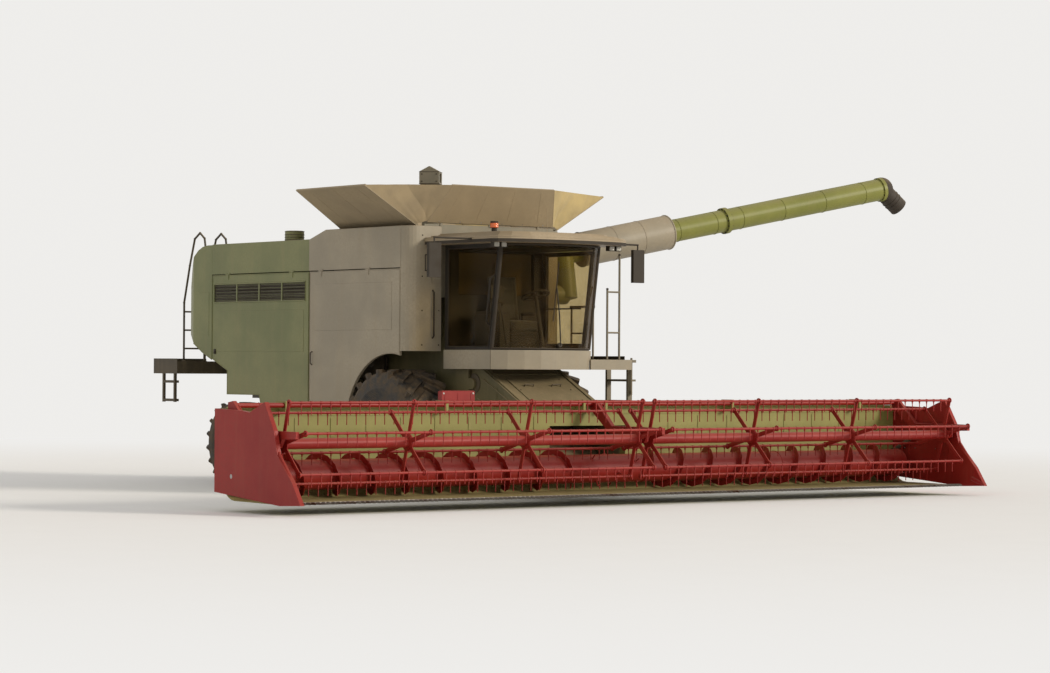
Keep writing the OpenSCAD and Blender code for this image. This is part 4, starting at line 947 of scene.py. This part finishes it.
def circle_places(radius, count, z):
    return [(radius * math.cos(2 * math.pi * k / count), radius * math.sin(2 * math.pi * k / count), z)
            for k in range(count)]


def make_auger_trim():
    form = Form(TUBE)
    for z in (0.345, 1.935):
        form.hoop((0, 0, z), (0, 0, 1), 0.264, 0.012, 40)
    for z in (0.9, 1.4):
        form.hoop((0, 0, z), (0, 0, 1), 0.265, 0.005, 40)
    form.slot = 1
    form.bolts(circle_places(0.192, 14, 3.060), (0, 0, 1), 0.010, 0.012)
    form.bolts(circle_places(0.192, 14, 2.990), (0, 0, -1), 0.010, 0.012)
    form.bolts(circle_places(0.185, 12, ELBOW_AT - 0.061), (0, 0, -1), 0.007, 0.008)
    form.pipe([(-0.188, 0.02, 1.97), (-0.188, 0.02, 2.95)], 0.009, 8)
    form.pipe([(-0.188, 0.02, 3.10), (-0.188, 0.02, ELBOW_AT - 0.08)], 0.009, 8)
    form.slot = 2
    for z in (2.1, 2.8, 3.3, 4.1, 4.9, 5.7):
        form.hoop((0, 0, z), (0, 0, 1), 0.1765, 0.005, 40)
    form.pipe([(0, -0.1755, 1.97), (0, -0.1755, 2.985)], 0.004, 6)
    form.pipe([(0, -0.1755, 3.065), (0, -0.1755, ELBOW_AT - 0.07)], 0.004, 6)
    form.piece("tube_trim", "unload_auger", "body_cream", "body_cream", "black_plastic", "tube_green")
    form = Form(TUBE)
    along = Vector((0, math.sin(math.radians(50)), math.cos(math.radians(50))))
    elbow = Vector((0, 0, ELBOW_AT))
    form.hoop(elbow + along * 0.438, along, 0.1425, 0.009, 36)
    form.hoop(elbow + along * 0.30, along, 0.152, 0.006, 36)
    form.hoop(elbow + along * 0.235, along, 0.152, 0.006, 36)
    form.piece("spout_lip", "unload_auger", "spout_dark")
    form = Form(shift(-0.690, -0.290, 0))
    for z in (4.600, 4.640):
        form.hoop((0, 0, z), (0, 0, 1), 0.132, 0.007)
    form.place = shift(-0.690, -0.290, 0) @ turn(45, "Z")
    form.pipe([(0, -0.150, 4.898), (0, 0.150, 4.898)], 0.004, 6)
    for z in (4.635, 4.815):
        form.pipe([(x, y, z) for x, y in ((-0.15, -0.15), (0.15, -0.15), (0.15, 0.15), (-0.15, 0.15))], 0.006, 8, closed=True)
    form.bolts([(-0.15, y, z) for y in (-0.11, 0.11) for z in (4.67, 4.78)], (-1, 0, 0), 0.008, 0.007)
    form.bolts([(x, -0.15, z) for x in (-0.11, 0.11) for z in (4.67, 4.78)], (0, -1, 0), 0.008, 0.007)
    form.piece("fill_auger_trim", "fill_auger", "dark_steel")


# Wheels: nuts, hub caps, valves and rim edges
def make_wheel_trim(body, x, side, z, track, disc, flange, hub_out, hub_r, bolt_r, rim_r, rim_half):
    form = Form(mirrored(side))
    face = track + disc + 0.034
    count = 12 if hub_r > 0.1 else 8
    places = [(x + bolt_r * math.cos(2 * math.pi * k / count), face, z + bolt_r * math.sin(2 * math.pi * k / count))
              for k in range(count)]
    form.bolts(places, (0, 1, 0), 0.017, 0.028)
    end = track + disc + hub_out
    form.turned((x, end - 0.002, z), (0, 1, 0), [(0, hub_r * 0.86), (0.018, hub_r * 0.84), (0.03, hub_r * 0.6), (0.032, 0.02)], 28)
    form.bolts([(x + hub_r * 0.7 * math.cos(math.pi * k / 3), end + 0.016, z + hub_r * 0.7 * math.sin(math.pi * k / 3))
                for k in range(6)], (0, 1, 0), 0.008, 0.008)
    form.slot = 1
    form.hoop((x, track + rim_half, z), (0, 1, 0), rim_r - 0.012, 0.010, 48)
    form.hoop((x, track + disc + 0.012, z), (0, 1, 0), rim_r - 0.026, 0.008, 48)
    form.turned((x, track + disc, z), (0, 1, 0), [(0, hub_r * 1.9), (0.020, hub_r * 1.7), (0.022, hub_r * 1.5)], 40)
    form.slot = 2
    form.pipe([(x, track + disc + 0.01, z + rim_r * 0.84), (x, track + disc + 0.06, z + rim_r * 0.86)], 0.006, 8)
    form.piece("wheel_trim_" + body[6:], body, "rim_paint", "bare_steel", "rim_paint", "black_plastic")


def make_wheels():
    for name, side in SIDES:
        make_wheel_trim("wheel_front_" + name, 0.0, side, 0.920, 1.300, 0.060, 0.195, 0.060, 0.130, 0.165, 0.406, 0.312)
        make_wheel_trim("wheel_rear_" + name, -4.400, side, 0.650, 1.300, 0.040, 0.135, 0.050, 0.090, 0.112, 0.305, 0.195)


# Chassis: bolts and hoses of the running gear
def make_chassis_trim():
    form = Form()
    for side in (-1, 1):
        form.bolts([(x, side * 0.862, z) for x in (-0.11, 0, 0.11) for z in (1.40, 1.50)], (0, side, 0), 0.016, 0.016)
        form.bolts([(x, side * 0.862, 1.45) for x in (-0.9, -1.7, -2.5, -3.3, -4.1, 0.6)], (0, side, 0), 0.014, 0.014)
        form.bolts([(0.24 * math.cos(math.pi * k / 6), side * 1.086, 0.92 + 0.24 * math.sin(math.pi * k / 6))
                    for k in range(12)], (0, side, 0), 0.014, 0.014)
        form.hoop((0, side * 0.87, 0.92), (0, 1, 0), 0.285, 0.010, 40)
    form.slot = 1
    for side in (-1, 1):
        form.pipe([(-0.16, side * 0.30, 1.52), (-0.20, side * 0.40, 1.10), (-0.17, side * 0.60, 0.98), (-0.15, side * 0.84, 1.02)], 0.014)
        form.pipe([(-4.27, side * 0.20, 1.46), (-4.27, side * 0.35, 1.05), (-4.27, side * 0.60, 0.80), (-4.30, side * 0.80, 0.785)], 0.012)
    form.piece("chassis_trim", "chassis", "chassis_paint", "bare_steel", "black_plastic")


# Platforms and ladders
def make_access_trim():
    form = Form()
    form.tread(0.33, 1.62, 0.97, 1.59, 2.000)
    form.slot = 1
    for x in (0.345, 0.895):
        form.turned((x, 1.610, 2.780), (0, 0, 1), [(0, 0.019), (0.035, 0.021), (0.04, 0.012)], 14)
    for x, y, z in ((0.36, 1.61, 2.0), (0.88, 1.61, 2.0), (1.715, 1.20, 2.0), (1.715, 1.43, 2.0)):
        form.turned((x, y, z - 0.001), (0, 0, 1), [(0, 0.034), (0.006, 0.034), (0.012, 0.018)], 16)
    for y, z in ((1.20, 3.05), (1.43, 3.56)):
        form.turned((1.715, y, z - 0.02), (0, 0, 1), [(0, 0.018), (0.022, 0.018), (0.028, 0.010)], 14)
    form.box((0.302, 1.628, 2.0), (1.60, 1.638, 2.055), 0.003)
    form.piece("platform_trim", "chassis", "dark_steel", "dark_steel", "black_plastic")
    form = Form()
    form.tread(-6.58, -5.88, -1.58, -0.62, 1.940)
    for z in (1.330, 1.630):
        form.tread(-6.31, -5.94, -1.595, -1.525, z, 0.035)
    form.box((-6.60, -1.602, 1.935), (-5.86, -1.590, 1.985), 0.003)
    form.box((-6.600, -1.60, 1.935), (-6.588, -0.60, 1.985), 0.003)
    form.bolts([(-5.88, y, 1.94) for y in (-1.5, -1.1, -0.7)], (0, 0, 1), 0.012, 0.012)
    for y in (-1.33, -0.93):
        form.turned((-6.10, y, 1.940), (0, 0, 1), [(0, 0.036), (0.006, 0.036), (0.012, 0.019)], 16)
        form.turned((-5.43, y, 3.76), (0.27, 0, -0.96), [(0, 0.019), (0.04, 0.026), (0.05, 0.022)], 14)
    form.piece("deck_ladder_trim", "chassis", "dark_steel")
    form = Form()
    for z in (0.47, 0.78, 1.09, 1.40, 1.71):
        form.tread(1.175, 1.615, 1.655, 1.795, z, 0.035)
    form.bolts([(x, 1.731, z) for x in (1.15, 1.64) for z in (0.455, 0.765, 1.075, 1.385, 1.695)], (0, 1, 0), 0.009, 0.008)
    form.piece("ladder_trim", "access_ladder", "dark_steel")


# Feeder house
FEEDER_TOP = shift(1.170, 0, 1.876) @ turn(math.degrees(math.atan2(0.756, 1.420)), "Y")


def make_feeder_trim():
    form = Form(FEEDER_TOP)
    form.box((0.35, -0.50, -0.004), (1.05, 0.50, 0.012), 0.005)
    for y in (-0.66, 0.66):
        form.box((0.03, y - 0.035, -0.004), (1.58, y + 0.035, 0.016), 0.005)
    for x in (0.20, 1.22, 1.50):
        form.box((x - 0.03, -0.62, -0.004), (x + 0.03, 0.62, 0.014), 0.005)
    form.slot = 1
    form.bolts([(x, y, 0.012) for x in (0.39, 0.70, 1.01) for y in (-0.46, 0.46)], (0, 0, 1))
    for y in (-0.25, 0.25):
        form.pipe([(0.60, y - 0.08, 0.01), (0.60, y - 0.08, 0.05), (0.60, y + 0.08, 0.05), (0.60, y + 0.08, 0.01)], 0.008)
    form.place = Matrix.Identity(4)
    form.slot = 0
    for side in (-1, 1):
        for (ax, az), (bx, bz) in (((1.25, 1.70), (2.56, 1.02)), ((1.10, 1.42), (2.56, 0.55))):
            form.pipe([(ax, side * 0.722, az), (bx, side * 0.722, bz)], 0.016)
        for x in (1.55, 1.95, 2.35):
            high, low = 1.876 - (x - 1.17) * 0.5324, 1.405 - (x - 0.868) * 0.6353
            form.box((x - 0.025, side * 0.722 - 0.006, low + 0.08), (x + 0.025, side * 0.722 + 0.006, high - 0.08), 0.004)
        form.box((2.575, side * 0.745 - 0.024, 0.40), (2.635, side * 0.745 + 0.024, 1.08), 0.005)
    form.slot = 1
    for side in (-1, 1):
        form.turned((1.020, side * 0.7205, 1.640), (0, side, 0), [(0, 0.15), (0.010, 0.15), (0.016, 0.10)], 32)
        form.bolts([(2.605, side * 0.769, z) for z in (0.46, 0.66, 0.86, 1.02)], (0, side, 0), 0.012, 0.010)
    form.piece("feeder_trim", "feeder", "body_green_dark", "body_green_dark", "dark_steel")


# Header: wall pressings, beam, end walls, knife sections and skids
WALL_Y = [0.95 + 0.57 * i for i in range(9)]


def make_header_trim():
    form = Form()
    for side in (-1, 1):
        for y in WALL_Y:
            form.box((2.759, side * y - 0.03, 0.82), (2.768, side * y + 0.03, 1.20), 0.004)
            form.box((2.688, side * y - 0.04, 0.37), (2.702, side * y + 0.04, 1.22), 0.005)
            form.box((2.64, side * y - 0.006, 1.225), (2.768, side * y + 0.006, 1.245), 0.0)
        form.box((2.688, side * 0.90, 0.60) if side > 0 else (2.688, -6.00, 0.60),
                 (2.700, 6.00, 0.66) if side > 0 else (2.700, -0.90, 0.66), 0.004)
    form.pipe([(2.662, -5.95, 1.339), (2.662, -2.60, 1.339)], 0.011)
    form.pipe([(2.662, -1.95, 1.339), (2.662, 5.95, 1.339)], 0.011)
    form.slot = 1
    for y in [-5.6, -5.0, -4.4, -3.8, -3.2, -1.6, -1.0, -0.5, 0.5, 1.0, 1.6, 2.2, 3.2, 3.8, 4.4, 5.0, 5.6]:
        form.bolts([(2.735, y, 1.330)], (0, 0, 1), 0.010, 0.009)
        form.box((2.648, y - 0.012, 1.328), (2.676, y + 0.012, 1.353), 0.004)
    for y in (-5.2, -2.6, -0.2, 0.2, 2.6, 5.2):
        form.bolts([(2.76, y + 0.02, 1.36), (2.82, y + 0.02, 1.39)], (0, 1, 0), 0.010, 0.009)
    form.piece("header_wall_trim", "feeder", "header_green", "header_green", "black_plastic")

    form = Form()
    wall = [(2.67, 0.26), (4.20, 0.14), (4.676, 0.158), (4.490, 0.415), (4.152, 0.755), (4.062, 1.064),
            (3.846, 1.418), (3.490, 1.281), (3.300, 1.301), (2.67, 1.321)]
    for side in (-1, 1):
        form.pipe([(x, side * 6.117, z) for x, z in wall], 0.0115, 8, closed=True)
        form.pipe([(4.64, side * 6.10, 0.165), (4.40, side * 6.10, 0.50), (4.14, side * 6.10, 0.80)], 0.020)
        form.turned((4.674, side * 6.085, 0.170), (-1, 0, 0.35), [(0, 0.012), (0.06, 0.030), (0.16, 0.040), (0.26, 0.038)], 16)
        for x0, x1, z0, z1 in ((2.80, 3.28, 0.75, 1.22), (3.34, 3.95, 0.62, 0.95)):
            low, high = sorted((side * 6.066, side * 6.072))
            form.box((x0, low, z0), (x1, high, z1), 0.003)
    for x0, x1 in ((2.665, 2.745),):
        for y in (-2.50, -2.28, -2.06):
            form.box((x1 + 0.001, y - 0.015, 1.35), (x1 + 0.009, y + 0.015, 1.53), 0.003)
        form.box((x0, -2.545, 1.548), (x1, -2.015, 1.558), 0.003)
    form.slot = 1
    for side in (-1, 1):
        form.turned((3.062, side * 6.1275, 0.462), (0, -side, 0), [(0, 0.05), (0.02, 0.05), (0.022, 0.03)], 20)
        form.bolts([(2.80 + 0.22 * i, side * 6.0695, 0.68) for i in range(5)], (0, -side, 0), 0.008, 0.007)
    form.bolts([(2.751, y, z) for y in (-2.53, -2.03) for z in (1.36, 1.52)], (1, 0, 0), 0.009, 0.007)
    form.slot = 2
    for side in (-1, 1):
        form.box((2.648, side * 5.85 - 0.05, 1.27), (2.654, side * 5.85 + 0.05, 1.31), 0.002)
    form.piece("header_end_trim", "feeder", "header_red", "header_red", "bare_steel", "lens_red")

    form = Form()
    for i in range(-79, 79):
        y = (i + 1.0) * 0.076
        form.prism([(4.190, y - 0.034), (4.190, y + 0.034), (4.275, y + 0.006), (4.275, y - 0.006)], 2, 0.1585, 0.1615, 0.0)
        form.pipe([(4.235, y - 0.038, 0.158), (4.30, y - 0.038, 0.162), (4.334, y - 0.038, 0.150)], [0.010, 0.008, 0.003], 6)
    form.box((4.180, -6.05, 0.158), (4.200, 6.05, 0.167), 0.002)
    form.piece("knife_sections", "feeder", "worn_steel")
    form = Form()
    for side in (-1, 1):
        for y in (1.2, 3.2, 5.2):
            form.prism([(2.95, 0.128), (3.9, 0.112), (4.15, 0.126), (4.15, 0.134), (3.9, 0.124), (2.95, 0.142)],
                       1, side * y - 0.10, side * y + 0.10, 0.003)
    form.piece("header_skids", "feeder", "worn_steel")


# Intake auger: finger guides and end plates
def make_intake_trim():
    form = Form()
    for i in range(12):
        angle = math.radians(i * 105)
        way = Vector((math.cos(angle), 0, -math.sin(angle)))
        centre = Vector((3.062, -0.605 + 0.110 * i, 0.462))
        form.turned(centre + way * 0.197, way, [(0, 0.030), (0.006, 0.030), (0.012, 0.016)], 14)
    for side in (-1, 1):
        for y in (0.70, 3.3, 5.86):
            form.hoop((3.062, side * y, 0.462), (0, 1, 0), 0.200, 0.007, 36)
    form.piece("intake_trim", "intake_auger", "header_red")


# Reel: bearing collars, tine clamps, hub flanges and edge bars
REEL_X, REEL_Z, BAT_R = 3.960, 0.900, 0.540
PLATES = (0.110, 2.050, 3.990, 5.925)


def bat_places():
    angles = [math.radians(15 + 60 * i) for i in range(6)]
    return [(REEL_X + BAT_R * math.cos(t), REEL_Z + BAT_R * math.sin(t)) for t in angles]


def make_reel_trim():
    form = Form()
    for x, z in bat_places():
        for side in (-1, 1):
            for k in range(38):
                y = side * (0.190 + 0.150 * k)
                form.turned((x, y - 0.014, z), (0, 1, 0), [(0, 0.0215), (0.028, 0.0215)], 10)
                form.box((x - 0.008, y - 0.006, z - 0.046), (x + 0.008, y + 0.006, z - 0.016), 0.0)
    form.piece("tine_clamps", "reel", "header_red")
    form = Form()
    for side in (-1, 1):
        for plate in PLATES:
            y = side * plate
            for x, z in bat_places():
                for way in (-1, 1):
                    if plate > 5.9 and way * side > 0:
                        continue
                    form.turned((x, y + way * 0.0075, z), (0, way, 0), [(0, 0.030), (0.022, 0.026), (0.024, 0.020)], 14)
            for way in (-1, 1):
                if plate > 5.9 and way * side > 0 or plate < 0.2 and way * side < 0:
                    continue
                form.turned((REEL_X, y + way * 0.0072, REEL_Z), (0, way, 0), [(0, 0.112), (0.010, 0.112), (0.014, 0.085)], 32)
                form.bolts([(REEL_X + 0.097 * math.cos(math.pi * k / 4), y + way * 0.017, REEL_Z + 0.097 * math.sin(math.pi * k / 4))
                            for k in range(8)], (0, way, 0), 0.007, 0.007)
    for side in (-1, 1):
        for plate in PLATES:
            for i in range(6):
                angle = math.radians(15 + 60 * i)
                way = Vector((math.cos(angle), 0, math.sin(angle)))
                middle = Vector((REEL_X, side * plate, REEL_Z))
                form.pipe([middle + way * 0.13, middle + way * 0.49], 0.0095, 8)
    form.piece("reel_trim", "reel", "header_red")
    form = Form()
    for y in (-6.005, 0.0, 6.005):
        for way in (-1, 1):
            if abs(y) > 6 and way * y > 0:
                continue
            edge = y + way * 0.026
            form.pipe([(3.00, edge, 1.375), (3.33, edge, 1.055), (4.40, edge, 1.045)], 0.010, 8)
            form.bolts([(3.45 + 0.2 * i, edge, 1.01) for i in range(5)], (0, way, 0), 0.009, 0.008)
            form.turned((REEL_X, edge - way * 0.001, REEL_Z), (0, way, 0), [(0, 0.055), (0.008, 0.055), (0.012, 0.04)], 24)
    for y in (-5.6, -4.0, -2.0, 2.0, 4.0, 5.6):
        form.hoop((2.880, y, 1.370), (0, 1, 0), 0.034, 0.006, 24)
    form.piece("reel_arm_trim", "reel_arms", "header_red")


def make_pieces():
    make_cab_inside()
    for name in FLAP_ENDS:
        make_flap_trim(name)
    make_corner_cloths("front")
    make_corner_cloths("rear")
    make_tank_inside()
    make_cab_trim()
    make_side_doors()
    make_body_trim()
    make_drives()
    make_auger_trim()
    make_wheels()
    make_chassis_trim()
    make_access_trim()
    make_feeder_trim()
    make_header_trim()
    make_intake_trim()
    make_reel_trim()


make_pieces()


# Studio: pale floor that fades into the surroundings, and one soft key light from ahead and the left
FLOOR_TONE = (0.94, 0.93, 0.915)
SKY_TONE = (0.86, 0.85, 0.83)
FADE_FROM = 9.0
FADE_TO = 30.0
WORLD_LEVEL = 0.60
KEY_LEVEL = 2.2
KEY_FROM = (0.75, 0.52, 0.32)


def make_floor():
    reach = 1400.0
    mesh = bpy.data.meshes.new("studio_floor")
    mesh.from_pydata([(-reach, -reach, 0), (reach, -reach, 0), (reach, reach, 0), (-reach, reach, 0)], [], [(0, 1, 2, 3)])
    floor = bpy.data.objects.new("studio_floor", mesh)
    bpy.context.scene.collection.objects.link(floor)
    n = Nodes("studio_floor")
    grain = n.noise(1.5, 3.0, 0.5)
    n.link(n.mix(grain, FLOOR_TONE, shade(FLOOR_TONE, 0.97)), n.shader.inputs["Base Color"])
    n.constant(Roughness=0.95)
    glow = n.make("ShaderNodeEmission")
    glow.inputs["Color"].default_value = (*SKY_TONE, 1.0)
    away = n.make("ShaderNodeVectorMath")
    away.operation = "LENGTH"
    n.link(n.place, away.inputs[0])
    far = n.ramp(away.outputs["Value"], FADE_FROM, FADE_TO)
    seen = n.make("ShaderNodeLightPath").outputs["Is Camera Ray"]
    mix = n.make("ShaderNodeMixShader")
    n.link(n.math("MULTIPLY", far, seen), mix.inputs["Fac"])
    n.link(n.shader.outputs["BSDF"], mix.inputs[1])
    n.link(glow.outputs["Emission"], mix.inputs[2])
    n.link(mix.outputs["Shader"], n.output.inputs["Surface"])
    mesh.materials.append(n.material)


def make_world():
    world = bpy.data.worlds.new("studio_light")
    world.use_nodes = True
    tree = world.node_tree
    tree.nodes.clear()
    output = tree.nodes.new("ShaderNodeOutputWorld")
    seen = tree.nodes.new("ShaderNodeBackground")
    seen.inputs["Color"].default_value = (*SKY_TONE, 1.0)
    seen.inputs["Strength"].default_value = 1.0
    lit = tree.nodes.new("ShaderNodeBackground")
    lit.inputs["Color"].default_value = (1.0, 0.98, 0.95, 1.0)
    lit.inputs["Strength"].default_value = WORLD_LEVEL
    ray = tree.nodes.new("ShaderNodeLightPath")
    mix = tree.nodes.new("ShaderNodeMixShader")
    kinds = [ray.outputs[name] for name in ("Is Camera Ray", "Is Transmission Ray", "Is Glossy Ray")]
    value = kinds[0]
    for kind in kinds[1:]:
        either = tree.nodes.new("ShaderNodeMath")
        either.operation = "MAXIMUM"
        tree.links.new(value, either.inputs[0])
        tree.links.new(kind, either.inputs[1])
        value = either.outputs[0]
    tree.links.new(value, mix.inputs["Fac"])
    tree.links.new(lit.outputs[0], mix.inputs[1])
    tree.links.new(seen.outputs[0], mix.inputs[2])
    tree.links.new(mix.outputs[0], output.inputs["Surface"])
    bpy.context.scene.world = world


def make_key_light():
    sun = bpy.data.lights.new("key_light", "SUN")
    sun.energy = KEY_LEVEL
    sun.color = (1.0, 0.93, 0.82)
    sun.angle = math.radians(14.0)
    lamp = bpy.data.objects.new("key_light", sun)
    bpy.context.scene.collection.objects.link(lamp)
    lamp.rotation_euler = Vector(KEY_FROM).to_track_quat("Z", "Y").to_euler()


make_floor()
make_world()
make_key_light()
bpy.context.scene.view_settings.view_transform = "Standard"
